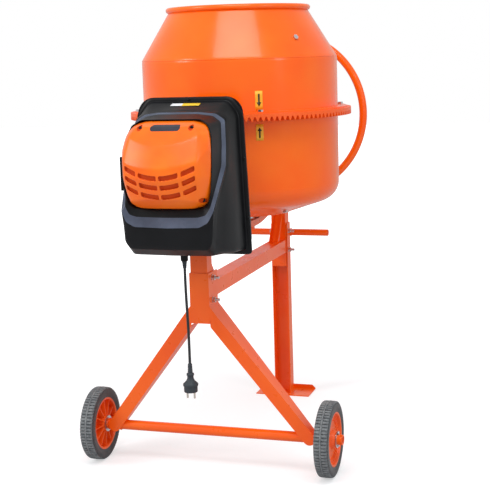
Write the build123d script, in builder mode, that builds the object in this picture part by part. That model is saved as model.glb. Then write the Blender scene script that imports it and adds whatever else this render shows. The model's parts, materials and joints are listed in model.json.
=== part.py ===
"""Tilting-drum concrete mixer, millimetres, +Z up.

The origin is on the ground, in the middle of the machine's footprint box. X runs along the wheel
axle, +Y points from the motor side (front) to the handwheel side (rear). Distances along Y that are
given "from the drum axis" go through at(), which adds the drum axis' own place.
"""
from build123d import *
from math import asin, cos, hypot, pi, radians, sin, sqrt, tan
import os

os.makedirs("parts", exist_ok=True)

# ---------------------------------------------------------------- driving dimensions
PIVOT_H = 900.0          # height of the tilting axis
FRONT_REACH = 656.0      # drum axis to the front of the motor cover
REAR_REACH = 506.0       # drum axis to the end of the handwheel bolt
DRUM_Y = (FRONT_REACH - REAR_REACH) / 2

SHEET = 2.5              # folded sheet of the frame
SLACK = 0.1              # radial gap of a tube seated in a cut-out
RUN = 0.05               # radial clearance of a running fit

# stand
STAND_W = 53.0
STAND_FRONT = -397.0
STAND_DEPTH = 69.0
STAND_LOW = 407.0
STAND_HIGH = 540.0
LEG_W = 34.0
LEG_ANGLE = 52.5
LEG_FOOT_X = 276.0
LEG_TOE = -360.0         # front of the leg at axle height
AXLE_AT = -343.0
AXLE_R = 13.5
AXLE_WALL = 3.0

# wheels
WHEEL_R = 100.0
TYRE_W = 38.0
HALF_TRACK = 325.0
RIM_R = 71.0
HUB_R = 21.0
TYRE_SHOULDER_R = 7.0
RIM_BAND = 6.0
RIM_FLOOR = 4.0
RIM_RIBS = 10
RIM_RIB_T = 2.5
RIM_RIB_BACK = 3.0        # the ribs stop this far inside the rim's edge
HUB_LEN = 42.0
HUB_GAP = 1.0            # play between hub and washer
WASHER_T = 2.0
AXLE_WASHER_R = 22.0
AXLE_STUB = 14.0         # axle end beyond the outer washer
PIN_R = 2.0
PIN_EYE_R = 3.5
PIN_WIRE_R = 1.4

# posts and beam
POST_W = 46.0
POST_DEPTH = 38.0
POST_LOW = 425.0
BEAM_LOW = 470.0
BEAM_HIGH = 510.0
SADDLE_R = 34.0
SADDLE_CORNER_R = 8.0
FRONT_BRACE_OUT = 60.0
FRONT_BRACE_UP = 71.0
REAR_BRACE_OUT = 62.0
REAR_BRACE_UP = 95.0
BRACE_W = 30.0
BRACE_T = 3.0
BRACE_DEPTH = 10.0

# rear leg
REAR_LEG_BACK = 389.0
REAR_LEG_DEPTH = 34.0
REAR_LEG_HIGH = 562.0
FOOT_HALF = 88.0
FOOT_FRONT = 342.0
FOOT_BACK = 433.0
FOOT_T = 3.0
FOOT_LIP = 15.0
FOOT_CUT = 10.0          # cut corners of the foot's lip
FOOT_HOLE_X = 50.0
FOOT_HOLE_Y = 406.0
FOOT_HOLE_R = 5.0
HANDLE_R = 10.5
HANDLE_WALL = 2.0
HANDLE_HALF = 149.0
HANDLE_H = 527.5

# frame bolts (M8)
BOLT_R = 4.0
BOLT_HOLE_R = 4.5
NUT_ACROSS = 13.0
NUT_T = 6.5
HEAD_T = 5.3
BOLT_WASHER_R = 8.0
BOLT_WASHER_T = 1.6
FRONT_BOLT_AT = -368.0
REAR_BOLT_AT = 368.0
FRONT_BOLT_Z = (466.0, 525.0)
REAR_BOLT_Z = (476.0, 536.0)
BOLT_TAIL = 11.0         # thread beyond the nut

# drum
DRUM_R = 275.0
DRUM_T = 2.5
DRUM_FLOOR = PIVOT_H - 250.0
DRUM_FLAT_R = 135.0
DRUM_CONE_ANGLE = 18.0
DRUM_CORNER_R = 55.0
DRUM_KNUCKLE_R = 60.0    # bend between the flat floor and the cone
DRUM_BREAK_R = 25.0      # bend at the foot of the upper cone
DRUM_BREAK_H = PIVOT_H + 185.0
MOUTH_R = 195.5
MOUTH_H = PIVOT_H + 315.0
BEAD_R = 7.5
FLANGE_R = 300.0
FLANGE_T = 2.0

# ring gear and pinion: bevel pair, both cones meet where the drum axis crosses the tilting axis
RING_R = 312.5
RING_TEETH = 132
PINION_TEETH = 12
FACE_W = 25.0
PRESSURE = 20.0
PINION_ADDENDUM = 0.9    # in modules; the ring's is 1
DEDENDUM = 1.25
BACKLASH = 0.25          # taken off each flank
RING_TOP = PIVOT_H + 43.0

# yoke
YOKE_W = 72.0
YOKE_T = 4.0
YOKE_LIP = 18.0
YOKE_OUT = 345.0
YOKE_LOW = PIVOT_H - 292.0
YOKE_BOW_R = 599.0
YOKE_CORNER_R = 80.0
TRUNNION_R = 22.5
TRUNNION_BORE = 17.5
SHAFT_R = 7.5
BEARING_W = 11.0

# drum spindle and its bearings
SPINDLE_R = 12.5
SPINDLE_BEARING_R = 23.5
SPINDLE_BEARING_W = 12.0
HOUSING_R = 30.0
HOUSING_LOW = PIVOT_H - 304.0
HOUSING_HIGH = PIVOT_H - 261.0
SPINDLE_FLANGE_R = 92.0
SPINDLE_FLANGE_T = 6.0
SPINDLE_BOLT_R = 80.0
SPINDLE_BOLTS = 6
BOLT_REACH = 20.0        # half the length of the cutters for bolt holes in the drum

# motor housing
PAN_DEPTH = 23.0
PAN_GAP = 1.5            # round the trunnion where it enters the housing
RIM_W = 10.0
RIM_T = 4.0
HOUSING_TOP = PIVOT_H + 95.0
HOUSING_BOTTOM = PIVOT_H - 303.0
HOUSING_TOP_HALF = 139.0
HOUSING_BOTTOM_HALF = 155.0
HOUSING_CORNER = 45.0
HOUSING_WALL = 3.0
BODY_FRONT = -600.0
BODY_FRONT_HALF = 110.0
COVER_HALF = 110.0
COVER_LOW = PIVOT_H - 164.0
COVER_HIGH = PIVOT_H + 44.0
COVER_CORNER = 28.0
COVER_CROWN_R = 165.0    # plan-view radius of the cover's bulge
COVER_WALL = 2.5
COVER_GAP = 0.5

# drive inside the housing
PULLEY_R = 78.0
PULLEY_BAND = 6.0
PULLEY_HUB = 8.0
PULLEY_HOLES = 6
PULLEY_HOLE_R = 11.0
MOTOR_PULLEY_R = 8.5
BELT_W = 12.0
BELT_T = 2.0
BELT_GAP = 0.3
BELT_AT = -408.0
MOTOR_H = PIVOT_H - 175.0
MOTOR_R = 58.0
MOTOR_LEN = 105.0
MOTOR_SHAFT_R = 6.0
BRACKET_T = 4.0
BRACKET_HALF = 62.0
STANDOFF_R = 7.0
STANDOFF_OFF = 52.0

# switch
SWITCH_AT = -500.0
SWITCH_H = PIVOT_H - 88.0
SWITCH_FACE = 150.0
SWITCH_W = 50.0
SWITCH_TALL = 84.0
SWITCH_DEEP = 44.0
BUTTON_R = 10.5
BUTTON_PROUD = 6.0
BUTTON_GAP = 0.4
BUTTON_STEM = 8.0

# cord
GLAND_AT = -495.0
GLAND_R = 9.5
GLAND_LOW = HOUSING_BOTTOM - 8.0
CORD_R = 3.5
PLUG_R = 19.5
PLUG_TOP = 326.0
PLUG_LOW = 252.0
PLUG_PIN_R = 2.4
PLUG_PIN_PITCH = 19.0
PLUG_PIN_LEN = 17.0

# handwheel
WHEEL_PLANE = 484.0
HANDWHEEL_R = 250.0
HANDWHEEL_TUBE_R = 12.0
SPOKE_R = 7.0
SPOKE_START = 60.0
SPOKES = 3
SPOKE_ROOT = 6.0         # how far a spoke runs into the hub
HUB_OUT_R = 34.0
HUB_FRONT = 452.0
HUB_REAR = 494.0
SQUARE = 26.0
SQUARE_GAP = 0.3
SQUARE_FROM = 402.0
LOCK_DISC_R = 58.0
LOCK_DISC_T = 8.0
LOCK_PIN_OFF = 42.0
LOCK_PIN_R = 5.0
LOCK_PIN_GAP = 0.6
LOCK_ANGLES = (-120.0, 0.0, 120.0)
LOCK_FLANGE_R = 52.0
LOCK_FLANGE_T = 6.0
SPRING_R = 19.2
SPRING_WIRE = 2.4
CUP_R = 24.0
CUP_DEEP = 26.0
SPRING_GAP = 0.5

# ---------------------------------------------------------------- derived
STAND_BACK = STAND_FRONT + STAND_DEPTH
FRONT_POST_FACE = STAND_FRONT + SHEET
FRONT_POST_BACK = FRONT_POST_FACE + POST_DEPTH
REAR_POST_BACK = REAR_LEG_BACK - SHEET
REAR_POST_FACE = REAR_POST_BACK - POST_DEPTH
POST_HIGH = PIVOT_H - SADDLE_R
AXLE_H = WHEEL_R
HUB_IN = HALF_TRACK - HUB_LEN / 2
HUB_OUT = HALF_TRACK + HUB_LEN / 2
AXLE_HALF = HUB_OUT + HUB_GAP + WASHER_T + AXLE_STUB
MODULE = 2 * RING_R / RING_TEETH
PINION_R = MODULE * PINION_TEETH / 2
TOOTH_TIP = PIVOT_H + PINION_R - MODULE
TOOTH_ROOT = PIVOT_H + PINION_R + DEDENDUM * MODULE
TOE_SCALE = (RING_R - FACE_W) / RING_R
PAN_BACK = FRONT_POST_FACE
RIM_AT = PAN_BACK - PAN_DEPTH
FLANGE_LOW = RING_TOP
MOTOR_BACK = RIM_AT - 12.0
SPINDLE_FLANGE_LOW = DRUM_FLOOR - SPINDLE_FLANGE_T


def at(y):
    """Y in the model of a distance measured from the drum axis."""
    return DRUM_Y + y


def facing_front(y):
    """Upright plane at a distance from the drum axis: its x is X, its y is Z, its normal is -Y."""
    return Plane((0, at(y), 0), x_dir=(1, 0, 0), z_dir=(0, -1, 0))


def facing_side(x):
    """Upright plane at X: its x is Y, its y is Z, its normal is +X."""
    return Plane((x, 0, 0), x_dir=(0, 1, 0), z_dir=(1, 0, 0))


# ---------------------------------------------------------------- stand: channel, legs, axle
def frame_bolt_holes(y, heights, radius):
    """Round cutters along X for the clamping bolts of one post, made away from any context."""
    with BuildPart(mode=Mode.PRIVATE) as cutter:
        with BuildSketch(facing_side(-STAND_W)):
            with Locations(*[(at(y), z) for z in heights]):
                Circle(radius)
        extrude(amount=2 * STAND_W)
    return cutter.part


with BuildPart() as stand_channel:
    with BuildSketch(Plane.XY.offset(STAND_LOW)):
        with Locations((0, at(STAND_FRONT))):
            Rectangle(STAND_W, STAND_DEPTH, align=(Align.CENTER, Align.MIN))
        with Locations((0, at(STAND_FRONT) + SHEET)):
            Rectangle(STAND_W - 2 * SHEET, STAND_DEPTH, align=(Align.CENTER, Align.MIN), mode=Mode.SUBTRACT)
    extrude(amount=STAND_HIGH - STAND_LOW)
    add(frame_bolt_holes(FRONT_BOLT_AT, FRONT_BOLT_Z, BOLT_HOLE_R), mode=Mode.SUBTRACT)
stand_channel.part.label = "stand_channel"
export_step(stand_channel.part, "parts/stand_channel.step")


def leg_block(side, half_width, inset):
    """Slanted leg with a rounded toe, its front face leaning from the channel back to the axle."""
    lean = radians(LEG_ANGLE)
    root_x = STAND_W / 2
    rise = (LEG_FOOT_X - root_x) * tan(lean)
    edge = half_width / cos(lean)
    toe = (LEG_FOOT_X, AXLE_H)
    low = (LEG_FOOT_X - half_width * sin(lean), AXLE_H - half_width * cos(lean))
    high = (LEG_FOOT_X + half_width * sin(lean), AXLE_H + half_width * cos(lean))
    top_z = AXLE_H + rise
    front_top = at(STAND_FRONT) + inset
    front_toe = at(LEG_TOE) + inset
    slope = (front_toe - front_top) / (top_z - AXLE_H)
    drop = AXLE_H - WHEEL_R / 2
    with BuildPart(mode=Mode.PRIVATE) as block:
        with BuildSketch(facing_front(STAND_BACK)):
            with BuildLine():
                Polyline((root_x, top_z + edge), (root_x, top_z - edge), low, high, close=True)
            make_face()
            with Locations(toe):
                Circle(half_width)
            if side < 0:
                mirror(about=Plane.YZ, mode=Mode.REPLACE)
        extrude(amount=STAND_DEPTH)
        with BuildSketch(facing_side(-AXLE_HALF)):
            with BuildLine():
                Polyline((at(STAND_BACK), drop), (front_toe + slope * (AXLE_H - drop), drop),
                         (front_top, top_z), (front_top, top_z + WHEEL_R),
                         (at(STAND_BACK), top_z + WHEEL_R), close=True)
            make_face()
        extrude(amount=2 * AXLE_HALF, mode=Mode.INTERSECT)
    return block.part


for side, side_name in ((-1, "left"), (1, "right")):
    with BuildPart() as leg:
        add(leg_block(side, LEG_W / 2, 0))
        add(leg_block(side, LEG_W / 2 - SHEET, SHEET), mode=Mode.SUBTRACT)
        with BuildSketch(facing_side(-AXLE_HALF)):
            with Locations((at(AXLE_AT), AXLE_H)):
                Circle(AXLE_R + SLACK)
        extrude(amount=2 * AXLE_HALF, mode=Mode.SUBTRACT)
    leg.part.label = f"leg_{side_name}"
    export_step(leg.part, f"parts/leg_{side_name}.step")

PIN_X = HUB_OUT + HUB_GAP + WASHER_T + PIN_R + SLACK

with BuildPart() as axle_tube:
    with BuildSketch(facing_side(-AXLE_HALF)):
        with Locations((at(AXLE_AT), AXLE_H)):
            Circle(AXLE_R)
            Circle(AXLE_R - AXLE_WALL, mode=Mode.SUBTRACT)
    extrude(amount=2 * AXLE_HALF)
    with BuildSketch(Plane.XY.offset(AXLE_H - WHEEL_R / 2)):
        with Locations((-PIN_X, at(AXLE_AT)), (PIN_X, at(AXLE_AT))):
            Circle(PIN_R + SLACK)
    extrude(amount=WHEEL_R, mode=Mode.SUBTRACT)
axle_tube.part.label = "axle_tube"
export_step(axle_tube.part, "parts/axle_tube.step")


# ---------------------------------------------------------------- wheels
def about_axle(x):
    """Plane through the axle's centre line: its x runs along X from x outwards, its y is up."""
    return Plane((x, at(AXLE_AT), AXLE_H), x_dir=(1, 0, 0), z_dir=(0, -1, 0))


AXLE_LINE = Axis((0, at(AXLE_AT), AXLE_H), (1, 0, 0))

for side, side_name in ((-1, "left"), (1, "right")):
    with BuildPart() as tyre:
        with BuildSketch(about_axle(side * HALF_TRACK)) as tyre_section:
            with Locations((0, (WHEEL_R + RIM_R) / 2)):
                Rectangle(TYRE_W, WHEEL_R - RIM_R)
            crown = tyre_section.vertices().group_by(Axis.Z)[-1]
            fillet(crown, TYRE_SHOULDER_R)
        revolve(axis=AXLE_LINE)
    tyre.part.label = f"tyre_{side_name}"
    export_step(tyre.part, f"parts/tyre_{side_name}.step")

    with BuildPart() as rim:
        with BuildSketch(about_axle(side * HALF_TRACK)):
            with Locations((0, RIM_R - RIM_BAND / 2)):
                Rectangle(TYRE_W, RIM_BAND)
            with Locations((0, (RIM_R + AXLE_R) / 2)):
                Rectangle(RIM_FLOOR, RIM_R - AXLE_R - RUN)
            with Locations((0, (HUB_R + AXLE_R + RUN) / 2)):
                Rectangle(HUB_LEN, HUB_R - AXLE_R - RUN)
            with Locations((0, AXLE_R / 2)):
                Rectangle(2 * HUB_LEN, AXLE_R + 2 * RUN, mode=Mode.SUBTRACT)
        revolve(axis=AXLE_LINE)
        with BuildSketch(facing_side(side * (HALF_TRACK - TYRE_W / 2 + RIM_RIB_BACK))):
            with Locations((at(AXLE_AT), AXLE_H)):
                with PolarLocations((HUB_R + RIM_R - RIM_BAND) / 2, RIM_RIBS):
                    Rectangle(RIM_R - RIM_BAND - HUB_R + 2, RIM_RIB_T)
        extrude(amount=side * (TYRE_W / 2 - RIM_RIB_BACK))
    rim.part.label = f"rim_{side_name}"
    export_step(rim.part, f"parts/rim_{side_name}.step")

with BuildPart() as axle_washers:
    outer = HUB_OUT + HUB_GAP
    inner = HUB_IN - HUB_GAP - WASHER_T
    for edge in (-outer - WASHER_T, -inner - WASHER_T, inner, outer):
        with BuildSketch(facing_side(edge)):
            with Locations((at(AXLE_AT), AXLE_H)):
                Circle(AXLE_WASHER_R)
                Circle(AXLE_R + SLACK, mode=Mode.SUBTRACT)
        extrude(amount=WASHER_T)
axle_washers.part.label = "axle_washers"
export_step(axle_washers.part, "parts/axle_washers.step")

PIN_PROUD = 5.0
with BuildPart() as split_pins:
    with BuildSketch(Plane.XY.offset(AXLE_H - AXLE_R - PIN_PROUD)):
        with Locations((-PIN_X, at(AXLE_AT)), (PIN_X, at(AXLE_AT))):
            Circle(PIN_R)
    extrude(amount=2 * AXLE_R + 2 * PIN_PROUD)
    eye_z = AXLE_H + AXLE_R + PIN_PROUD
    with Locations(*[Plane((x, at(AXLE_AT), eye_z), z_dir=(1, 0, 0)) for x in (-PIN_X, PIN_X)]):
        Torus(PIN_EYE_R, PIN_WIRE_R)
split_pins.part.label = "split_pins"
export_step(split_pins.part, "parts/split_pins.step")


# ---------------------------------------------------------------- cradle: posts, beam, braces
def post(front, bolt_at, bolt_z):
    """Square tube from below the beam up to the saddle."""
    with BuildPart() as tube:
        with BuildSketch(Plane.XY.offset(POST_LOW)):
            with Locations((0, at(front))):
                Rectangle(POST_W, POST_DEPTH, align=(Align.CENTER, Align.MIN))
            with Locations((0, at(front) + SHEET)):
                Rectangle(POST_W - 2 * SHEET, POST_DEPTH - 2 * SHEET, align=(Align.CENTER, Align.MIN),
                          mode=Mode.SUBTRACT)
        extrude(amount=POST_HIGH - POST_LOW)
        add(frame_bolt_holes(bolt_at, bolt_z, BOLT_HOLE_R), mode=Mode.SUBTRACT)
    return tube


front_post = post(FRONT_POST_FACE, FRONT_BOLT_AT, FRONT_BOLT_Z)
front_post.part.label = "front_post"
export_step(front_post.part, "parts/front_post.step")

rear_post = post(REAR_POST_FACE, REAR_BOLT_AT, REAR_BOLT_Z)
rear_post.part.label = "rear_post"
export_step(rear_post.part, "parts/rear_post.step")

with BuildPart() as main_beam:
    with BuildSketch(facing_front(REAR_POST_FACE)):
        with Locations((0, (BEAM_LOW + BEAM_HIGH) / 2)):
            Rectangle(POST_W, BEAM_HIGH - BEAM_LOW)
            Rectangle(POST_W - 2 * SHEET, BEAM_HIGH - BEAM_LOW - 2 * SHEET, mode=Mode.SUBTRACT)
    extrude(amount=REAR_POST_FACE - FRONT_POST_BACK)
main_beam.part.label = "main_beam"
export_step(main_beam.part, "parts/main_beam.step")


def brace(post_y, out, up):
    """Folded strip from the beam's top to a post; out is signed along Y."""
    reach = hypot(out, up)

    def band(depth, width):
        shift_y = depth * reach / up * (1 if out > 0 else -1)
        shift_z = depth * reach / abs(out)
        with BuildPart(mode=Mode.PRIVATE) as strip:
            with BuildSketch(facing_side(-width / 2)):
                with BuildLine():
                    Polyline((at(post_y), BEAM_HIGH + up - shift_z), (at(post_y), BEAM_HIGH + up),
                             (at(post_y + out), BEAM_HIGH), (at(post_y + out) - shift_y, BEAM_HIGH),
                             close=True)
                make_face()
            extrude(amount=width)
        return strip.part

    with BuildPart() as folded:
        add(band(BRACE_DEPTH, BRACE_W))
        add(band(BRACE_DEPTH - BRACE_T, BRACE_W - 2 * BRACE_T), mode=Mode.SUBTRACT)
    return folded


front_brace = brace(FRONT_POST_BACK, FRONT_BRACE_OUT, FRONT_BRACE_UP)
front_brace.part.label = "front_brace"
export_step(front_brace.part, "parts/front_brace.step")

rear_brace = brace(REAR_POST_FACE, -REAR_BRACE_OUT, REAR_BRACE_UP)
rear_brace.part.label = "rear_brace"
export_step(rear_brace.part, "parts/rear_brace.step")


def saddle(front):
    """Bearing block on a post's top, bored for the trunnion."""
    with BuildPart() as block:
        with BuildSketch(facing_front(front)):
            with Locations((0, POST_HIGH)):
                Rectangle(POST_W, SADDLE_R, align=(Align.CENTER, Align.MIN))
            with Locations((0, PIVOT_H)):
                Circle(SADDLE_R)
                Circle(TRUNNION_R + RUN, mode=Mode.SUBTRACT)
        extrude(amount=-POST_DEPTH)
    return block


front_saddle = saddle(FRONT_POST_FACE)
front_saddle.part.label = "front_saddle"
export_step(front_saddle.part, "parts/front_saddle.step")

rear_saddle = saddle(REAR_POST_FACE)
rear_saddle.part.label = "rear_saddle"
export_step(rear_saddle.part, "parts/rear_saddle.step")

with BuildPart() as lock_disc:
    with BuildSketch(facing_front(REAR_POST_BACK)):
        with Locations((0, PIVOT_H)):
            Circle(LOCK_DISC_R)
            Circle(TRUNNION_R + 1, mode=Mode.SUBTRACT)
        for angle in LOCK_ANGLES:
            turn = radians(angle)
            with Locations((LOCK_PIN_OFF * sin(turn), PIVOT_H + LOCK_PIN_OFF * cos(turn))):
                Circle(LOCK_PIN_R + LOCK_PIN_GAP, mode=Mode.SUBTRACT)
    extrude(amount=-LOCK_DISC_T)
lock_disc.part.label = "lock_disc"
export_step(lock_disc.part, "parts/lock_disc.step")

# ---------------------------------------------------------------- rear leg, foot and handle
with BuildPart() as rear_leg:
    with BuildSketch(Plane.XY.offset(FOOT_T)):
        with Locations((0, at(REAR_LEG_BACK))):
            Rectangle(STAND_W, REAR_LEG_DEPTH, align=(Align.CENTER, Align.MAX))
        with Locations((0, at(REAR_LEG_BACK) - SHEET)):
            Rectangle(STAND_W - 2 * SHEET, REAR_LEG_DEPTH, align=(Align.CENTER, Align.MAX),
                      mode=Mode.SUBTRACT)
    extrude(amount=REAR_LEG_HIGH - FOOT_T)
    flange_corners = rear_leg.edges().filter_by(Axis.X).group_by(Axis.Z)[-1].group_by(Axis.Y)[0]
    fillet(flange_corners, SADDLE_CORNER_R)
    add(frame_bolt_holes(REAR_BOLT_AT, REAR_BOLT_Z, BOLT_HOLE_R), mode=Mode.SUBTRACT)
rear_leg.part.label = "rear_leg"
export_step(rear_leg.part, "parts/rear_leg.step")

with BuildPart() as foot_plate:
    with BuildSketch(Plane.XY):
        with Locations((0, at(FOOT_FRONT))):
            Rectangle(2 * FOOT_HALF, FOOT_BACK - FOOT_FRONT, align=(Align.CENTER, Align.MIN))
        with Locations((-FOOT_HOLE_X, at(FOOT_HOLE_Y)), (FOOT_HOLE_X, at(FOOT_HOLE_Y))):
            Circle(FOOT_HOLE_R, mode=Mode.SUBTRACT)
    extrude(amount=FOOT_T)
    with BuildSketch(facing_front(FOOT_BACK)):
        with BuildLine():
            Polyline((-FOOT_HALF, 0), (FOOT_HALF, 0), (FOOT_HALF, FOOT_LIP - FOOT_CUT),
                     (FOOT_HALF - FOOT_CUT, FOOT_LIP),
                     (FOOT_CUT - FOOT_HALF, FOOT_LIP), (-FOOT_HALF, FOOT_LIP - FOOT_CUT), close=True)
        make_face()
    extrude(amount=FOOT_T)
foot_plate.part.label = "foot_plate"
export_step(foot_plate.part, "parts/foot_plate.step")

with BuildPart() as transport_handle:
    with BuildSketch(facing_side(-HANDLE_HALF)):
        with Locations((at(REAR_LEG_BACK) + HANDLE_R, HANDLE_H)):
            Circle(HANDLE_R)
            Circle(HANDLE_R - HANDLE_WALL, mode=Mode.SUBTRACT)
    extrude(amount=2 * HANDLE_HALF)
transport_handle.part.label = "transport_handle"
export_step(transport_handle.part, "parts/transport_handle.step")

# ---------------------------------------------------------------- frame bolts, nuts and washers
BOLT_PLACES = [(FRONT_BOLT_AT, z) for z in FRONT_BOLT_Z] + [(REAR_BOLT_AT, z) for z in REAR_BOLT_Z]
CLAMP = STAND_W / 2 + BOLT_WASHER_T


def at_bolts(x):
    """Upright sketch plane at X and the bolt centres on it."""
    return facing_side(x), [(at(y), z) for y, z in BOLT_PLACES]


with BuildPart() as frame_bolts:
    head_plane, centres = at_bolts(-CLAMP - HEAD_T)
    with BuildSketch(head_plane):
        with Locations(*centres):
            RegularPolygon(NUT_ACROSS / 2, 6, major_radius=False)
    extrude(amount=HEAD_T)
    shank_plane, centres = at_bolts(-CLAMP)
    with BuildSketch(shank_plane):
        with Locations(*centres):
            Circle(BOLT_R)
    extrude(amount=2 * CLAMP + NUT_T + BOLT_TAIL)
frame_bolts.part.label = "frame_bolts"
export_step(frame_bolts.part, "parts/frame_bolts.step")

with BuildPart() as frame_nuts:
    nut_plane, centres = at_bolts(CLAMP)
    with BuildSketch(nut_plane):
        with Locations(*centres):
            RegularPolygon(NUT_ACROSS / 2, 6, major_radius=False)
            Circle(BOLT_R + RUN, mode=Mode.SUBTRACT)
    extrude(amount=NUT_T)
frame_nuts.part.label = "frame_nuts"
export_step(frame_nuts.part, "parts/frame_nuts.step")

with BuildPart() as frame_washers:
    for x in (-CLAMP, STAND_W / 2):
        washer_plane, centres = at_bolts(x)
        with BuildSketch(washer_plane):
            with Locations(*centres):
                Circle(BOLT_WASHER_R)
                Circle(BOLT_HOLE_R, mode=Mode.SUBTRACT)
        extrude(amount=BOLT_WASHER_T)
frame_washers.part.label = "frame_washers"
export_step(frame_washers.part, "parts/frame_washers.step")

# ---------------------------------------------------------------- motor housing
BODY_SIDE = ((-552.0, PIVOT_H + 58), (-600.0, PIVOT_H - 85), (-607.0, PIVOT_H - 185), (-597.0, PIVOT_H - 260),
             (-565.0, PIVOT_H - 284))
COVER_SIDE = ((-552.0, COVER_HIGH), (-588.0, COVER_HIGH - 12), (-630.0, COVER_HIGH - 54),
              (-FRONT_REACH, COVER_HIGH - 106), (2 - FRONT_REACH, COVER_LOW + 72), (-638.0, COVER_LOW + 28),
              (-606.0, COVER_LOW))
BODY_TOP = HOUSING_TOP - RIM_W
BODY_BOTTOM = HOUSING_BOTTOM + RIM_W
BODY_REAR_HALF = HOUSING_BOTTOM_HALF - RIM_W


def housing_outline(inset):
    """Rounded trapezoid of the housing seen from the front, drawn in from its rim."""
    top = HOUSING_TOP - inset
    bottom = HOUSING_BOTTOM + inset
    with BuildSketch(mode=Mode.PRIVATE) as outline:
        with BuildLine():
            Polyline((inset - HOUSING_TOP_HALF, top), (HOUSING_TOP_HALF - inset, top),
                     (HOUSING_BOTTOM_HALF - inset, bottom), (inset - HOUSING_BOTTOM_HALF, bottom), close=True)
        make_face()
        fillet(outline.vertices(), HOUSING_CORNER - inset)
    return outline.sketch


def body_block(inset):
    """Outer form of the housing body, or the hollow inside it, open at the rim plane."""
    spare = HOUSING_CORNER
    width_loss = (BODY_REAR_HALF - BODY_FRONT_HALF) / (RIM_AT - BODY_FRONT)
    outline = housing_outline(RIM_W + inset)
    with BuildPart(mode=Mode.PRIVATE) as block:
        with BuildSketch(facing_front(RIM_AT)):
            add(outline)
        extrude(amount=-BODY_SIDE[2][0] + RIM_AT)
        with BuildSketch(facing_side(-HOUSING_BOTTOM_HALF)):
            with BuildLine():
                Polyline((at(RIM_AT) + spare, BODY_TOP), (at(RIM_AT), BODY_TOP),
                         *[(at(y), z) for y, z in BODY_SIDE],
                         (at(RIM_AT), BODY_BOTTOM), (at(RIM_AT) + spare, BODY_BOTTOM), close=True)
            make_face()
            offset(amount=-inset, kind=Kind.INTERSECTION, mode=Mode.REPLACE)
        extrude(amount=2 * HOUSING_BOTTOM_HALF, mode=Mode.INTERSECT)
        with BuildSketch(Plane.XY.offset(HOUSING_BOTTOM)):
            rear = BODY_REAR_HALF - inset + width_loss * spare
            front = BODY_FRONT_HALF - inset - width_loss * spare
            with BuildLine():
                Polyline((-rear, at(RIM_AT) + spare), (rear, at(RIM_AT) + spare),
                         (front, at(BODY_FRONT) - spare), (-front, at(BODY_FRONT) - spare), close=True)
            make_face()
        extrude(amount=HOUSING_TOP - HOUSING_BOTTOM, mode=Mode.INTERSECT)
    return block.part


def cover_block(inset, skirt):
    """Bulged cover form: rounded front outline cut to the side profile; skirt is how far it runs back."""
    with BuildPart(mode=Mode.PRIVATE) as block:
        with BuildSketch(facing_front(COVER_SIDE[0][0] + 2 * skirt)):
            with Locations((0, (COVER_LOW + COVER_HIGH) / 2)):
                RectangleRounded(2 * (COVER_HALF - inset), COVER_HIGH - COVER_LOW - 2 * inset,
                                 COVER_CORNER - inset)
        extrude(amount=FRONT_REACH + COVER_SIDE[0][0] + 2 * skirt)
        with BuildSketch(facing_side(-COVER_HALF)):
            with BuildLine():
                Polyline(*[(at(y), z) for y, z in COVER_SIDE],
                         (at(COVER_SIDE[-1][0]) + skirt, COVER_LOW),
                         (at(COVER_SIDE[0][0]) + skirt, COVER_HIGH), close=True)
            make_face()
            offset(amount=-inset, kind=Kind.INTERSECTION, mode=Mode.REPLACE)
        extrude(amount=2 * COVER_HALF, mode=Mode.INTERSECT)
        with BuildSketch(Plane.XY.offset(COVER_LOW)):
            with Locations((0, at(COVER_CROWN_R - FRONT_REACH))):
                Circle(COVER_CROWN_R - inset)
        extrude(amount=COVER_HIGH - COVER_LOW, mode=Mode.INTERSECT)
    return block.part


COVER_SKIRT = 12.0
VENT_ROWS = (COVER_LOW + 32, COVER_LOW + 55, COVER_LOW + 78)
VENT_COLUMNS = ((-72.0, 30.0), (-26.5, 46.0), (26.5, 46.0), (72.0, 30.0))
VENT_H = 11.0
VENT_CORNER = 3.0
COVER_SCREWS = ((-66.0, COVER_HIGH - 15, -590.0), (66.0, COVER_HIGH - 15, -590.0),
                (-93.0, COVER_LOW + 20, -622.0), (93.0, COVER_LOW + 20, -622.0))
SCREW_R = 2.5
SCREW_HEAD_R = 5.0
RIM_SCREW_HEAD_R = 4.5
SCREW_POCKET = 5.0
SCREW_LEN = 16.0
RIM_SCREWS = ((0.0, HOUSING_TOP - 5), (-141.5, PIVOT_H - 60), (141.5, PIVOT_H - 60),
              (-147.5, PIVOT_H - 210), (147.5, PIVOT_H - 210), (0.0, HOUSING_BOTTOM + 5))

rim_outline = housing_outline(0)
wall_outline = housing_outline(RIM_W)
room_outline = housing_outline(RIM_W + HOUSING_WALL)

with BuildPart() as housing_back:
    with BuildSketch(facing_front(RIM_AT + RIM_T)):
        add(rim_outline)
        add(room_outline, mode=Mode.SUBTRACT)
    extrude(amount=RIM_T)
    with BuildSketch(facing_front(PAN_BACK)):
        add(wall_outline)
        add(room_outline, mode=Mode.SUBTRACT)
    extrude(amount=PAN_DEPTH)
    with BuildSketch(facing_front(PAN_BACK)):
        add(wall_outline)
        with Locations((0, PIVOT_H)):
            Circle(TRUNNION_R + PAN_GAP, mode=Mode.SUBTRACT)
    extrude(amount=HOUSING_WALL)
    with BuildSketch(facing_front(RIM_AT + RIM_T)):
        with Locations(*RIM_SCREWS):
            Circle(SCREW_R)
    extrude(amount=RIM_T, mode=Mode.SUBTRACT)
housing_back.part.label = "housing_back"
export_step(housing_back.part, "parts/housing_back.step")

body_outside = body_block(0)
body_inside = body_block(HOUSING_WALL)

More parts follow.
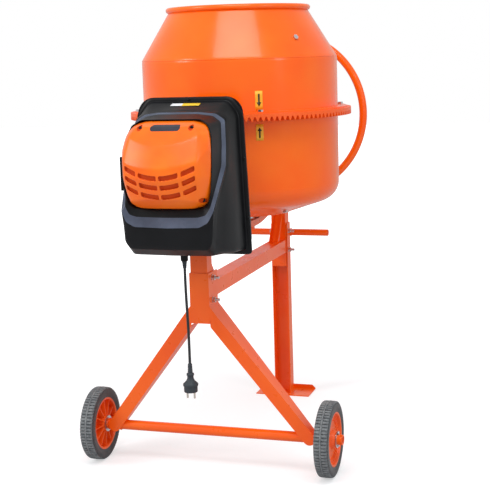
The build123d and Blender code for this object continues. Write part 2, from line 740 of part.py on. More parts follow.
with BuildPart() as housing_body:
    add(body_outside)
    with BuildSketch(facing_front(RIM_AT)):
        add(rim_outline)
    extrude(amount=RIM_T)
    add(body_inside, mode=Mode.SUBTRACT)
    with BuildSketch(facing_front(COVER_SIDE[0][0] + 2 * COVER_SKIRT)):
        with Locations((0, (COVER_LOW + COVER_HIGH) / 2)):
            RectangleRounded(2 * (COVER_HALF + COVER_GAP), COVER_HIGH - COVER_LOW + 2 * COVER_GAP,
                             COVER_CORNER + COVER_GAP)
    extrude(amount=FRONT_REACH, mode=Mode.SUBTRACT)
    with BuildSketch(facing_front(RIM_AT)):
        with Locations(*RIM_SCREWS):
            Circle(SCREW_R)
    extrude(amount=RIM_T, mode=Mode.SUBTRACT)
    with BuildSketch(facing_side(-SWITCH_FACE)):
        with Locations((at(SWITCH_AT), SWITCH_H)):
            Rectangle(SWITCH_W + 2 * BUTTON_GAP, SWITCH_TALL + 2 * BUTTON_GAP)
    extrude(amount=SWITCH_DEEP, mode=Mode.SUBTRACT)
    with BuildSketch(Plane.XY.offset(HOUSING_BOTTOM)):
        with Locations((0, at(GLAND_AT))):
            Circle(GLAND_R - CORD_R)
    extrude(amount=GLAND_R * 4, mode=Mode.SUBTRACT)
housing_body.part.label = "housing_body"
export_step(housing_body.part, "parts/housing_body.step")

cover_outside = cover_block(0, COVER_SKIRT)
cover_inside = cover_block(COVER_WALL, 2 * COVER_SKIRT)

with BuildPart(mode=Mode.PRIVATE) as screw_bosses:
    for x, z, y in COVER_SCREWS:
        with BuildSketch(facing_front(y + SCREW_POCKET + COVER_WALL)):
            with Locations((x, z)):
                Circle(SCREW_HEAD_R + 1 + COVER_WALL)
        extrude(amount=FRONT_REACH + y)
    add(cover_outside, mode=Mode.INTERSECT)

with BuildPart() as housing_cover:
    add(cover_outside)
    add(cover_inside, mode=Mode.SUBTRACT)
    with BuildSketch(facing_front(COVER_SIDE[-1][0] + 2 * COVER_SKIRT)):
        for x, width in VENT_COLUMNS:
            with Locations(*[(x, z) for z in VENT_ROWS]):
                RectangleRounded(width, VENT_H, VENT_CORNER)
    extrude(amount=FRONT_REACH, mode=Mode.SUBTRACT)
    add(screw_bosses.part)
    for x, z, y in COVER_SCREWS:
        with BuildSketch(facing_front(y + SCREW_POCKET)):
            with Locations((x, z)):
                Circle(SCREW_HEAD_R + 1)
        extrude(amount=FRONT_REACH, mode=Mode.SUBTRACT)
        with BuildSketch(facing_front(y + SCREW_POCKET + SCREW_LEN)):
            with Locations((x, z)):
                Circle(SCREW_R)
        extrude(amount=SCREW_LEN, mode=Mode.SUBTRACT)
housing_cover.part.label = "housing_cover"
export_step(housing_cover.part, "parts/housing_cover.step")

with BuildPart() as housing_screws:
    for x, z, y in COVER_SCREWS:
        with BuildSketch(facing_front(y + SCREW_POCKET)):
            with Locations((x, z)):
                Circle(SCREW_HEAD_R)
        extrude(amount=SCREW_POCKET - 2)
        with BuildSketch(facing_front(y + SCREW_POCKET + SCREW_LEN)):
            with Locations((x, z)):
                Circle(SCREW_R)
        extrude(amount=SCREW_LEN)
    with BuildSketch(facing_front(RIM_AT + RIM_T)):
        with Locations(*RIM_SCREWS):
            Circle(SCREW_R)
    extrude(amount=2 * RIM_T)
    with BuildSketch(facing_front(RIM_AT - RIM_T)):
        with Locations(*RIM_SCREWS):
            Circle(RIM_SCREW_HEAD_R)
    extrude(amount=3)
housing_screws.part.label = "housing_screws"
export_step(housing_screws.part, "parts/housing_screws.step")

# ---------------------------------------------------------------- motor, belt and pulleys
MOTOR_FRONT = MOTOR_BACK - BRACKET_T - MOTOR_LEN
ROTOR_R = 35.0
ROTOR_LEN = 62.0
FAN_R = 46.0
FAN_W = 10.0
FAN_DISC_T = 2.5
FAN_BLADES = 8


def on_motor(y):
    """Plane square to the motor shaft, and the shaft's place on it."""
    return facing_front(y), Location((0, MOTOR_H))


with BuildPart() as motor_bracket:
    bracket_plane, shaft_spot = on_motor(MOTOR_BACK)
    with BuildSketch(bracket_plane):
        with Locations(shaft_spot):
            Rectangle(2 * BRACKET_HALF, 2 * BRACKET_HALF)
            Circle(MOTOR_SHAFT_R + 4, mode=Mode.SUBTRACT)
    extrude(amount=BRACKET_T)
    with BuildSketch(facing_front(PAN_BACK - HOUSING_WALL)):
        with Locations(shaft_spot):
            with GridLocations(2 * STANDOFF_OFF, 2 * STANDOFF_OFF, 2, 2):
                Circle(STANDOFF_R)
    extrude(amount=PAN_BACK - HOUSING_WALL - MOTOR_BACK)
motor_bracket.part.label = "motor_bracket"
export_step(motor_bracket.part, "parts/motor_bracket.step")

with BuildPart() as motor_casing:
    casing_plane, shaft_spot = on_motor(MOTOR_BACK - BRACKET_T)
    with BuildSketch(casing_plane):
        with Locations(shaft_spot):
            Circle(MOTOR_R)
            Circle(MOTOR_SHAFT_R + RUN, mode=Mode.SUBTRACT)
    extrude(amount=MOTOR_LEN)
    core_room = (MOTOR_LEN - ROTOR_LEN) / 2 - 2
    room_plane, shaft_spot = on_motor(MOTOR_BACK - BRACKET_T - core_room)
    with BuildSketch(room_plane):
        with Locations(shaft_spot):
            Circle(ROTOR_R + 1)
    extrude(amount=MOTOR_LEN - 2 * core_room, mode=Mode.SUBTRACT)
motor_casing.part.label = "motor_casing"
export_step(motor_casing.part, "parts/motor_casing.step")

with BuildPart() as rotor:
    shaft_plane, shaft_spot = on_motor(BELT_AT + BELT_W / 2)
    with BuildSketch(shaft_plane):
        with Locations(shaft_spot):
            Circle(MOTOR_SHAFT_R)
    extrude(amount=BELT_AT + BELT_W / 2 - MOTOR_FRONT + FAN_W + 4)
    core_plane, shaft_spot = on_motor(MOTOR_BACK - BRACKET_T - (MOTOR_LEN - ROTOR_LEN) / 2)
    with BuildSketch(core_plane):
        with Locations(shaft_spot):
            Circle(ROTOR_R)
    extrude(amount=ROTOR_LEN)
rotor.part.label = "rotor"
export_step(rotor.part, "parts/rotor.step")

with BuildPart() as motor_fan:
    fan_plane, shaft_spot = on_motor(MOTOR_FRONT - 2)
    with BuildSketch(fan_plane):
        with Locations(shaft_spot):
            Circle(FAN_R)
            Circle(MOTOR_SHAFT_R, mode=Mode.SUBTRACT)
    extrude(amount=FAN_DISC_T)
    with BuildSketch(fan_plane):
        with Locations(shaft_spot):
            Circle(MOTOR_SHAFT_R + 4)
            Circle(MOTOR_SHAFT_R, mode=Mode.SUBTRACT)
            with PolarLocations((FAN_R + MOTOR_SHAFT_R) / 2 + 1, FAN_BLADES):
                Rectangle(FAN_R - MOTOR_SHAFT_R - 4, 2)
    extrude(amount=FAN_W)
motor_fan.part.label = "motor_fan"
export_step(motor_fan.part, "parts/motor_fan.step")

with BuildPart() as motor_pulley:
    pulley_plane, shaft_spot = on_motor(BELT_AT + BELT_W / 2)
    with BuildSketch(pulley_plane):
        with Locations(shaft_spot):
            Circle(MOTOR_PULLEY_R)
            Circle(MOTOR_SHAFT_R, mode=Mode.SUBTRACT)
    extrude(amount=BELT_W)
motor_pulley.part.label = "motor_pulley"
export_step(motor_pulley.part, "parts/motor_pulley.step")


def belt_loop(spare):
    """Loop pulled tight round both pulleys, standing spare off them."""
    with BuildSketch(mode=Mode.PRIVATE) as loop:
        with Locations((0, PIVOT_H)):
            Circle(PULLEY_R + spare)
        with Locations((0, MOTOR_H)):
            Circle(MOTOR_PULLEY_R + spare)
        make_hull()
    return loop.sketch


belt_outside = belt_loop(BELT_GAP + BELT_T)
belt_inside = belt_loop(BELT_GAP)

with BuildPart() as drive_belt:
    with BuildSketch(facing_front(BELT_AT + BELT_W / 2 - 1)):
        add(belt_outside)
        add(belt_inside, mode=Mode.SUBTRACT)
    extrude(amount=BELT_W - 2)
drive_belt.part.label = "drive_belt"
export_step(drive_belt.part, "parts/drive_belt.step")

with BuildPart() as driven_pulley:
    with BuildSketch(facing_front(BELT_AT + BELT_W / 2)):
        with Locations((0, PIVOT_H)):
            Circle(PULLEY_R)
            Circle(PULLEY_R - PULLEY_BAND, mode=Mode.SUBTRACT)
            Circle(SHAFT_R + PULLEY_HUB)
            Circle(SHAFT_R, mode=Mode.SUBTRACT)
    extrude(amount=BELT_W)
    with BuildSketch(facing_front(BELT_AT + 2)):
        with Locations((0, PIVOT_H)):
            Circle(PULLEY_R - PULLEY_BAND + 1)
            Circle(SHAFT_R, mode=Mode.SUBTRACT)
            with PolarLocations((PULLEY_R + SHAFT_R) / 2, PULLEY_HOLES):
                Circle(PULLEY_HOLE_R, mode=Mode.SUBTRACT)
    extrude(amount=4)
driven_pulley.part.label = "driven_pulley"
export_step(driven_pulley.part, "parts/driven_pulley.step")

# ---------------------------------------------------------------- switch
SWITCH_WALL = 3.0
BUTTON_PLACES = (("start_button", SWITCH_H + 20), ("stop_button", SWITCH_H - 20))

with BuildPart() as switch_box:
    with BuildSketch(facing_side(-SWITCH_FACE)):
        with Locations((at(SWITCH_AT), SWITCH_H)):
            Rectangle(SWITCH_W, SWITCH_TALL)
    extrude(amount=SWITCH_DEEP)
    with BuildSketch(facing_side(-SWITCH_FACE + SWITCH_WALL)):
        with Locations((at(SWITCH_AT), SWITCH_H)):
            Rectangle(SWITCH_W - 2 * SWITCH_WALL, SWITCH_TALL - 2 * SWITCH_WALL)
    extrude(amount=SWITCH_DEEP, mode=Mode.SUBTRACT)
    with BuildSketch(facing_side(-SWITCH_FACE)):
        with Locations(*[(at(SWITCH_AT), z) for _, z in BUTTON_PLACES]):
            Circle(BUTTON_R + BUTTON_GAP)
    extrude(amount=SWITCH_WALL, mode=Mode.SUBTRACT)
switch_box.part.label = "switch_box"
export_step(switch_box.part, "parts/switch_box.step")

for button_name, button_z in BUTTON_PLACES:
    with BuildPart() as button:
        with BuildSketch(facing_side(-SWITCH_FACE - BUTTON_PROUD)):
            with Locations((at(SWITCH_AT), button_z)):
                Circle(BUTTON_R)
        extrude(amount=BUTTON_PROUD + SWITCH_WALL + BUTTON_STEM)
        with BuildSketch(facing_side(-SWITCH_FACE + SWITCH_WALL + BUTTON_GAP)):
            with Locations((at(SWITCH_AT), button_z)):
                Circle(BUTTON_R + 2)
        extrude(amount=3)
    button.part.label = button_name
    export_step(button.part, f"parts/{button_name}.step")

# ---------------------------------------------------------------- cable gland, cord and plug
with BuildPart() as cable_gland:
    with BuildSketch(Plane.XY.offset(GLAND_LOW)):
        with Locations((0, at(GLAND_AT))):
            Circle(GLAND_R)
    extrude(amount=BODY_SIDE[-1][1] - GLAND_LOW)
    chamfer(cable_gland.edges().sort_by(Axis.Z)[0], 3)
    add(body_outside, mode=Mode.SUBTRACT)
    with BuildSketch(Plane.XY.offset(GLAND_LOW + GLAND_R)):
        with Locations((0, at(GLAND_AT))):
            Circle(GLAND_R - CORD_R - BUTTON_GAP)
    extrude(amount=BODY_SIDE[-1][1] - GLAND_LOW)
cable_gland.part.label = "cable_gland"
export_step(cable_gland.part, "parts/cable_gland.step")

CORD_ROUTE = (
    (0.0, -495.0, GLAND_LOW),
    (0.0, -495.0, 538.0),
    (1.4, -495.6, 484.0),
    (3.4, -495.4, 430.0),
    (4.0, -495.0, 378.0),
    (4.0, -495.0, PLUG_TOP),
)


def bend_radii(points):
    """Largest radius for each corner: 0.45 of the shorter run over the tangent of half the turn."""
    radii = []
    for before, here, after in zip(points, points[1:], points[2:]):
        run_in = Vector(*here) - Vector(*before)
        run_out = Vector(*after) - Vector(*here)
        turn = radians(run_in.get_angle(run_out))
        radii.append(0.45 * min(run_in.length, run_out.length) / tan(turn / 2))
    return radii


cord_points = [(x, at(y), z) for x, y, z in CORD_ROUTE]
cord_radii = bend_radii(cord_points)
print("cord radii", [round(r) for r in cord_radii])

with BuildPart() as power_cord:
    with BuildLine() as cord_path:
        FilletPolyline(*cord_points, radius=cord_radii)
    with BuildSketch(Plane(cord_path.line @ 0, z_dir=cord_path.line % 0)):
        Circle(CORD_R)
    sweep()
cord_length = sum(edge.length for edge in cord_path.edges())
print("cord volume over section times length", power_cord.part.volume / (pi * CORD_R ** 2 * cord_length))
power_cord.part.label = "power_cord"
export_step(power_cord.part, "parts/power_cord.step")

PLUG_X, PLUG_AT = CORD_ROUTE[-1][0], CORD_ROUTE[-1][1]
with BuildPart() as plug_body:
    with BuildSketch(facing_front(PLUG_AT)):
        with BuildLine():
            Polyline((PLUG_X, PLUG_TOP), (PLUG_X + 5.5, PLUG_TOP), (PLUG_X + 8, PLUG_TOP - 24),
                     (PLUG_X + 12, PLUG_TOP - 30), (PLUG_X + PLUG_R, PLUG_TOP - 40),
                     (PLUG_X + PLUG_R, PLUG_LOW), (PLUG_X, PLUG_LOW), close=True)
        make_face()
    revolve(axis=Axis((PLUG_X, at(PLUG_AT), 0), (0, 0, 1)))
plug_body.part.label = "plug_body"
export_step(plug_body.part, "parts/plug_body.step")

with BuildPart() as plug_pins:
    with BuildSketch(Plane.XY.offset(PLUG_LOW)):
        with Locations((PLUG_X, at(PLUG_AT))):
            with GridLocations(PLUG_PIN_PITCH, 0, 2, 1):
                Circle(PLUG_PIN_R)
    extrude(amount=-PLUG_PIN_LEN)
plug_pins.part.label = "plug_pins"
export_step(plug_pins.part, "parts/plug_pins.step")


# ---------------------------------------------------------------- yoke
YOKE_BOW_RISE = YOKE_BOW_R - sqrt(YOKE_BOW_R ** 2 - YOKE_OUT ** 2)
YOKE_ROOM = 2 * YOKE_OUT


def yoke_outline(inset):
    """Side view of the yoke, drawn in from its outer edge and open well above the pivot."""
    with BuildSketch(mode=Mode.PRIVATE) as outline:
        with BuildLine():
            ThreePointArc((at(-YOKE_OUT), YOKE_LOW + YOKE_BOW_RISE), (at(0), YOKE_LOW),
                          (at(YOKE_OUT), YOKE_LOW + YOKE_BOW_RISE))
            Polyline((at(YOKE_OUT), YOKE_LOW + YOKE_BOW_RISE), (at(YOKE_OUT), PIVOT_H + YOKE_ROOM),
                     (at(-YOKE_OUT), PIVOT_H + YOKE_ROOM), (at(-YOKE_OUT), YOKE_LOW + YOKE_BOW_RISE))
        make_face()
        fillet(outline.vertices().group_by(Axis.Y)[0], YOKE_CORNER_R)
        if inset:
            offset(amount=-inset, mode=Mode.REPLACE)
    return outline.sketch


yoke_outer = yoke_outline(0)
yoke_web_outer = yoke_outline(YOKE_LIP - YOKE_T)
yoke_inner = yoke_outline(YOKE_LIP)

with BuildPart() as yoke_bow:
    with BuildSketch(facing_side(-YOKE_W / 2)):
        add(yoke_outer)
        add(yoke_inner, mode=Mode.SUBTRACT)
    extrude(amount=YOKE_W)
    with BuildSketch(facing_side(YOKE_T - YOKE_W / 2)):
        add(yoke_outer)
        add(yoke_web_outer, mode=Mode.SUBTRACT)
    extrude(amount=YOKE_W - 2 * YOKE_T, mode=Mode.SUBTRACT)
    with BuildSketch(facing_front(YOKE_ROOM)):
        with Locations((0, PIVOT_H)):
            Rectangle(YOKE_W, YOKE_ROOM, align=(Align.CENTER, Align.MAX))
            Circle(YOKE_W / 2)
    extrude(amount=2 * YOKE_ROOM, mode=Mode.INTERSECT)
    with BuildSketch(facing_front(YOKE_ROOM)):
        with Locations((0, PIVOT_H)):
            Circle(TRUNNION_R)
    extrude(amount=2 * YOKE_ROOM, mode=Mode.SUBTRACT)
    with BuildSketch(Plane.XY.offset(HOUSING_LOW)):
        with Locations((0, at(0))):
            Circle(HOUSING_R)
    extrude(amount=HOUSING_HIGH - HOUSING_LOW, mode=Mode.SUBTRACT)
yoke_bow.part.label = "yoke_bow"
export_step(yoke_bow.part, "parts/yoke_bow.step")

YOKE_IN = YOKE_OUT - YOKE_LIP
TRUNNION_END = -PAN_BACK + HOUSING_WALL + 2.5

with BuildPart() as front_trunnion:
    with BuildSketch(facing_front(-YOKE_IN)):
        with Locations((0, PIVOT_H)):
            Circle(TRUNNION_R)
            Circle(TRUNNION_BORE, mode=Mode.SUBTRACT)
    extrude(amount=TRUNNION_END - YOKE_IN)
front_trunnion.part.label = "front_trunnion"
export_step(front_trunnion.part, "parts/front_trunnion.step")

END_BOLT_R = 5.0
END_BOLT_DEEP = 25.0
with BuildPart() as rear_trunnion:
    with BuildSketch(facing_front(SQUARE_FROM)):
        with Locations((0, PIVOT_H)):
            Circle(TRUNNION_R)
    extrude(amount=SQUARE_FROM - YOKE_IN)
    with BuildSketch(facing_front(HUB_REAR)):
        with Locations((0, PIVOT_H)):
            Rectangle(SQUARE, SQUARE)
    extrude(amount=HUB_REAR - SQUARE_FROM)
    with BuildSketch(facing_front(HUB_REAR)):
        with Locations((0, PIVOT_H)):
            Circle(END_BOLT_R)
    extrude(amount=END_BOLT_DEEP, mode=Mode.SUBTRACT)
rear_trunnion.part.label = "rear_trunnion"
export_step(rear_trunnion.part, "parts/rear_trunnion.step")

with BuildPart() as pinion_bearings:
    for y in (-TRUNNION_END + 1 + BEARING_W, -YOKE_IN - 7):
        with BuildSketch(facing_front(y)):
            with Locations((0, PIVOT_H)):
                Circle(TRUNNION_BORE)
                Circle(SHAFT_R + RUN, mode=Mode.SUBTRACT)
        extrude(amount=BEARING_W)
pinion_bearings.part.label = "pinion_bearings"
export_step(pinion_bearings.part, "parts/pinion_bearings.step")

with BuildPart() as bearing_housing:
    with BuildSketch(Plane.XY.offset(HOUSING_LOW)):
        with Locations((0, at(0))):
            Circle(HOUSING_R)
    extrude(amount=HOUSING_HIGH - HOUSING_LOW)
    with BuildSketch(Plane.XY.offset(HOUSING_LOW + 3)):
        with Locations((0, at(0))):
            Circle(SPINDLE_BEARING_R)
    extrude(amount=HOUSING_HIGH - HOUSING_LOW, mode=Mode.SUBTRACT)
bearing_housing.part.label = "bearing_housing"
export_step(bearing_housing.part, "parts/bearing_housing.step")

SPINDLE_LOW = HOUSING_LOW + 6
with BuildPart() as drum_bearings:
    for z in (SPINDLE_LOW, HOUSING_HIGH - 3 - SPINDLE_BEARING_W):
        with BuildSketch(Plane.XY.offset(z)):
            with Locations((0, at(0))):
                Circle(SPINDLE_BEARING_R)
                Circle(SPINDLE_R + RUN, mode=Mode.SUBTRACT)
        extrude(amount=SPINDLE_BEARING_W)
drum_bearings.part.label = "drum_bearings"
export_step(drum_bearings.part, "parts/drum_bearings.step")

# ---------------------------------------------------------------- drum
DRUM_AXIS = Axis((0, at(0), 0), (0, 0, 1))
CONE_RISE = (DRUM_R - DRUM_FLAT_R) * tan(radians(DRUM_CONE_ANGLE))
MOUTH_SLOPE = (DRUM_R - MOUTH_R) / (MOUTH_H - DRUM_BREAK_H)
RING_BOLT_R = 292.0
RING_BOLT_ANGLES = [-62.0 + 90 * quarter for quarter in range(4)]
BLADE_ANGLES = (-34.0, 146.0)
BLADE_BOLT_H = PIVOT_H + 236.0
BLADE_FOOT_R = 185.0
BLADE_T = 3.0


def around_drum(radius, angle, height):
    """Point at a radius, an angle from +X and a height, about the drum axis."""
    turn = radians(angle)
    return (radius * cos(turn), at(0) + radius * sin(turn), height)


def blade_seats():
    """Planes on the drum's outer skin where the blade bolts pass, their normals pointing out."""
    seats = []
    lean = hypot(1, MOUTH_SLOPE)
    tilt = radians(DRUM_CONE_ANGLE)
    for angle in BLADE_ANGLES:
        out = Vector(cos(radians(angle)), sin(radians(angle)), 0)
        up = Vector(0, 0, 1)
        upper_r = DRUM_R - (BLADE_BOLT_H - DRUM_BREAK_H) * MOUTH_SLOPE
        seats.append(Plane(around_drum(upper_r, angle, BLADE_BOLT_H), z_dir=(out + up * MOUTH_SLOPE) / lean))
        foot_h = DRUM_FLOOR + (BLADE_FOOT_R - DRUM_FLAT_R) * tan(tilt)
        seats.append(Plane(around_drum(BLADE_FOOT_R, angle, foot_h), z_dir=out * sin(tilt) - up * cos(tilt)))
    return seats


BLADE_SEATS = blade_seats()

with BuildPart(mode=Mode.PRIVATE) as bolt_cutters:
    with BuildSketch(*[seat.offset(-BOLT_REACH) for seat in BLADE_SEATS]):
        Circle(BOLT_HOLE_R)
    extrude(amount=2 * BOLT_REACH)
    with BuildSketch(Plane.XY.offset(DRUM_FLOOR - BOLT_REACH)):
        with Locations((0, at(0))):
            with PolarLocations(SPINDLE_BOLT_R, SPINDLE_BOLTS):
                Circle(BOLT_HOLE_R)
    extrude(amount=2 * BOLT_REACH)

with BuildPart() as drum_spindle:
    with BuildSketch(Plane.XY.offset(SPINDLE_LOW)):
        with Locations((0, at(0))):
            Circle(SPINDLE_R)
    extrude(amount=DRUM_FLOOR - SPINDLE_LOW)
    with BuildSketch(Plane.XY.offset(SPINDLE_FLANGE_LOW)):
        with Locations((0, at(0))):
            Circle(SPINDLE_FLANGE_R)
    extrude(amount=SPINDLE_FLANGE_T)
    add(bolt_cutters.part, mode=Mode.SUBTRACT)
drum_spindle.part.label = "drum_spindle"
export_step(drum_spindle.part, "parts/drum_spindle.step")

with BuildPart() as drum_lower:
    with BuildSketch(facing_front(0)):
        with BuildLine():
            FilletPolyline((0, DRUM_FLOOR), (DRUM_FLAT_R, DRUM_FLOOR), (DRUM_R, DRUM_FLOOR + CONE_RISE),
                           (DRUM_R, FLANGE_LOW + FLANGE_T), radius=[DRUM_KNUCKLE_R, DRUM_CORNER_R])
            offset(amount=DRUM_T, side=Side.LEFT)
        make_face()
        with Locations((DRUM_R - DRUM_T, FLANGE_LOW)):
            Rectangle(FLANGE_R - DRUM_R + DRUM_T, FLANGE_T, align=(Align.MIN, Align.MIN))
    revolve(axis=DRUM_AXIS)
    add(bolt_cutters.part, mode=Mode.SUBTRACT)
    with BuildSketch(Plane.XY.offset(FLANGE_LOW)):
        with Locations(*[around_drum(RING_BOLT_R, angle, 0) for angle in RING_BOLT_ANGLES]):
            Circle(BOLT_HOLE_R)
    extrude(amount=FLANGE_T, mode=Mode.SUBTRACT)
drum_lower.part.label = "drum_lower"
export_step(drum_lower.part, "parts/drum_lower.step")

UPPER_LOW = FLANGE_LOW + FLANGE_T
with BuildPart() as drum_upper:
    with BuildSketch(facing_front(0)):
        with BuildLine():
            FilletPolyline((DRUM_R, UPPER_LOW), (DRUM_R, DRUM_BREAK_H), (MOUTH_R, MOUTH_H),
                           radius=[DRUM_BREAK_R])
            offset(amount=DRUM_T, side=Side.LEFT)
        make_face()
        with Locations((DRUM_R - DRUM_T, UPPER_LOW)):
            Rectangle(FLANGE_R - DRUM_R + DRUM_T, FLANGE_T, align=(Align.MIN, Align.MIN))
        with Locations((MOUTH_R, MOUTH_H + BEAD_R - 1)):
            Circle(BEAD_R)
    revolve(axis=DRUM_AXIS)
    add(bolt_cutters.part, mode=Mode.SUBTRACT)
    with BuildSketch(Plane.XY.offset(UPPER_LOW)):
        with Locations(*[around_drum(RING_BOLT_R, angle, 0) for angle in RING_BOLT_ANGLES]):
            Circle(BOLT_HOLE_R)
    extrude(amount=FLANGE_T, mode=Mode.SUBTRACT)
drum_upper.part.label = "drum_upper"
export_step(drum_upper.part, "parts/drum_upper.step")

BLADE_GAP = 0.3
BLADE_BOSS_R = 9.0
BLADE_BOSS = 16.0
BLADE_OUTLINE = ((DRUM_R - 110, DRUM_FLOOR + 26), (DRUM_R - 53, DRUM_FLOOR + 44), (DRUM_R - 17, DRUM_FLOOR + 72),
                 (DRUM_R - 8, DRUM_FLOOR + 110), (DRUM_R - 8, DRUM_FLOOR + 425), (DRUM_R - 49, DRUM_FLOOR + 494),
                 (DRUM_R - 70, DRUM_FLOOR + 482), (DRUM_R - 79, DRUM_FLOOR + 410), (DRUM_R - 69, DRUM_FLOOR + 210),
                 (DRUM_R - 115, DRUM_FLOOR + 50))
with BuildPart() as mixing_blades:
    for angle in BLADE_ANGLES:
        outward = Vector(*around_drum(1, angle, 0)) - Vector(0, at(0), 0)
        blade_plane = Plane(around_drum(0, 0, 0), x_dir=outward,
                            z_dir=(sin(radians(angle)), -cos(radians(angle)), 0))
        with BuildSketch(blade_plane.offset(-BLADE_T / 2)):
            with BuildLine():
                Polyline(*BLADE_OUTLINE, close=True)
            make_face()
        extrude(amount=BLADE_T)
    with BuildSketch(*[seat.offset(-DRUM_T - BLADE_GAP) for seat in BLADE_SEATS]):
        Circle(BLADE_BOSS_R)
    extrude(amount=-BLADE_BOSS)
    with BuildSketch(*BLADE_SEATS):
        Circle(BOLT_R + RUN)
    extrude(amount=-(DRUM_T + BLADE_GAP + BLADE_BOSS), mode=Mode.SUBTRACT)
mixing_blades.part.label = "mixing_blades"
export_step(mixing_blades.part, "parts/mixing_blades.step")

# ---------------------------------------------------------------- ring gear and pinion
PITCH_H = PIVOT_H + PINION_R
HALF_TOOTH = pi * MODULE / 4 - BACKLASH
FLANK = tan(radians(PRESSURE))
RING_BODY_LOW = PIVOT_H + (TOOTH_ROOT - PIVOT_H) * TOE_SCALE
RING_SEAT_R = DRUM_R + BLADE_GAP
ROOT_EMBED = 1.5


def ring_tooth_section(scale):
    """Section of one ring tooth, pointing down, shrunk towards the tilting axis."""
    with BuildSketch(mode=Mode.PRIVATE) as section:
        tip = HALF_TOOTH - MODULE * FLANK
        root_h = TOOTH_ROOT + ROOT_EMBED
        root = HALF_TOOTH + (root_h - PITCH_H) * FLANK
        corners = ((-root, root_h), (-tip, TOOTH_TIP), (tip, TOOTH_TIP), (root, root_h))
        with BuildLine():
            Polyline(*[(x * scale, PIVOT_H + (z - PIVOT_H) * scale) for x, z in corners], close=True)
        make_face()
    return section.sketch


tooth_heel = ring_tooth_section(1)
tooth_toe = ring_tooth_section(TOE_SCALE)
drum_centred = Plane((0, 0, 0), x_dir=(1, 0, 0), z_dir=(0, -1, 0))

with BuildPart(mode=Mode.PRIVATE) as ring_tooth:
    with BuildSketch(drum_centred.offset(RING_R)):
        add(tooth_heel)
    with BuildSketch(drum_centred.offset(RING_R - FACE_W)):
        add(tooth_toe)
    loft(ruled=True)

with BuildPart() as ring_gear:
    with BuildSketch(facing_front(0)):
        with BuildLine():
            Polyline((RING_SEAT_R, RING_BODY_LOW), (RING_R - FACE_W, RING_BODY_LOW), (RING_R, TOOTH_ROOT),
                     (RING_R, RING_TOP), (RING_SEAT_R, RING_TOP), close=True)
        make_face()
    revolve(axis=DRUM_AXIS)
    with Locations((0, at(0))):
        with PolarLocations(0, RING_TEETH, start_angle=180 / RING_TEETH):
            add(ring_tooth.part)
    with BuildSketch(Plane.XY.offset(RING_TOP)):
        with Locations(*[around_drum(RING_BOLT_R, angle, 0) for angle in RING_BOLT_ANGLES]):
            Circle(BOLT_R + RUN)
    extrude(amount=-(RING_TOP - TOOTH_ROOT - 1), mode=Mode.SUBTRACT)
ring_gear.part.label = "ring_gear"
export_step(ring_gear.part, "parts/ring_gear.step")


def involute_half(radius, base):
    """Half the angle that a pinion tooth spans at a radius, in radians."""
    def involute(r):
        spread = sqrt(max((r / base) ** 2 - 1, 0))
        return spread - (spread and asin(spread / sqrt(1 + spread ** 2)))

    return HALF_TOOTH / PINION_R + involute(PINION_R) - involute(max(radius, base))


def pinion_section(scale):
    """Pinion outline with its flanks as short involute steps, one tooth pointing up."""
    base = PINION_R * cos(radians(PRESSURE))
    tip_r = PINION_R + PINION_ADDENDUM * MODULE
    root_r = PINION_R - DEDENDUM * MODULE
    radii = [root_r, base, (base + PINION_R) / 2, PINION_R, (PINION_R + tip_r) / 2, tip_r]
    points = []
    for tooth in range(PINION_TEETH):
        middle = pi / 2 + 2 * pi * tooth / PINION_TEETH
        for r in radii:
            points.append((r, middle - involute_half(r, base)))
        for r in reversed(radii):
            points.append((r, middle + involute_half(r, base)))
    with BuildSketch(mode=Mode.PRIVATE) as section:
        with BuildLine():
            Polyline(*[(scale * r * cos(a), PIVOT_H + scale * r * sin(a)) for r, a in points], close=True)
        make_face()
    return section.sketch


pinion_heel = pinion_section(1)
pinion_toe = pinion_section(TOE_SCALE)

with BuildPart() as pinion_gear:
    with BuildSketch(facing_front(-RING_R)):
        add(pinion_heel)
    with BuildSketch(facing_front(FACE_W - RING_R)):
        add(pinion_toe)
    loft(ruled=True)
    with BuildSketch(facing_front(-RING_R)):
        with Locations((0, PIVOT_H)):
            Circle(2 * SHAFT_R)
    extrude(amount=YOKE_IN - RING_R - 3)
    with BuildSketch(facing_front(0)):
        with Locations((0, PIVOT_H)):
            Circle(SHAFT_R)
    extrude(amount=YOKE_OUT, mode=Mode.SUBTRACT)
pinion_gear.part.label = "pinion_gear"
export_step(pinion_gear.part, "parts/pinion_gear.step")

with BuildPart() as pinion_shaft:
    with BuildSketch(facing_front(FACE_W - RING_R)):
        with Locations((0, PIVOT_H)):
            Circle(SHAFT_R)
    extrude(amount=BELT_W - BELT_AT - RING_R + FACE_W)
pinion_shaft.part.label = "pinion_shaft"
export_step(pinion_shaft.part, "parts/pinion_shaft.step")

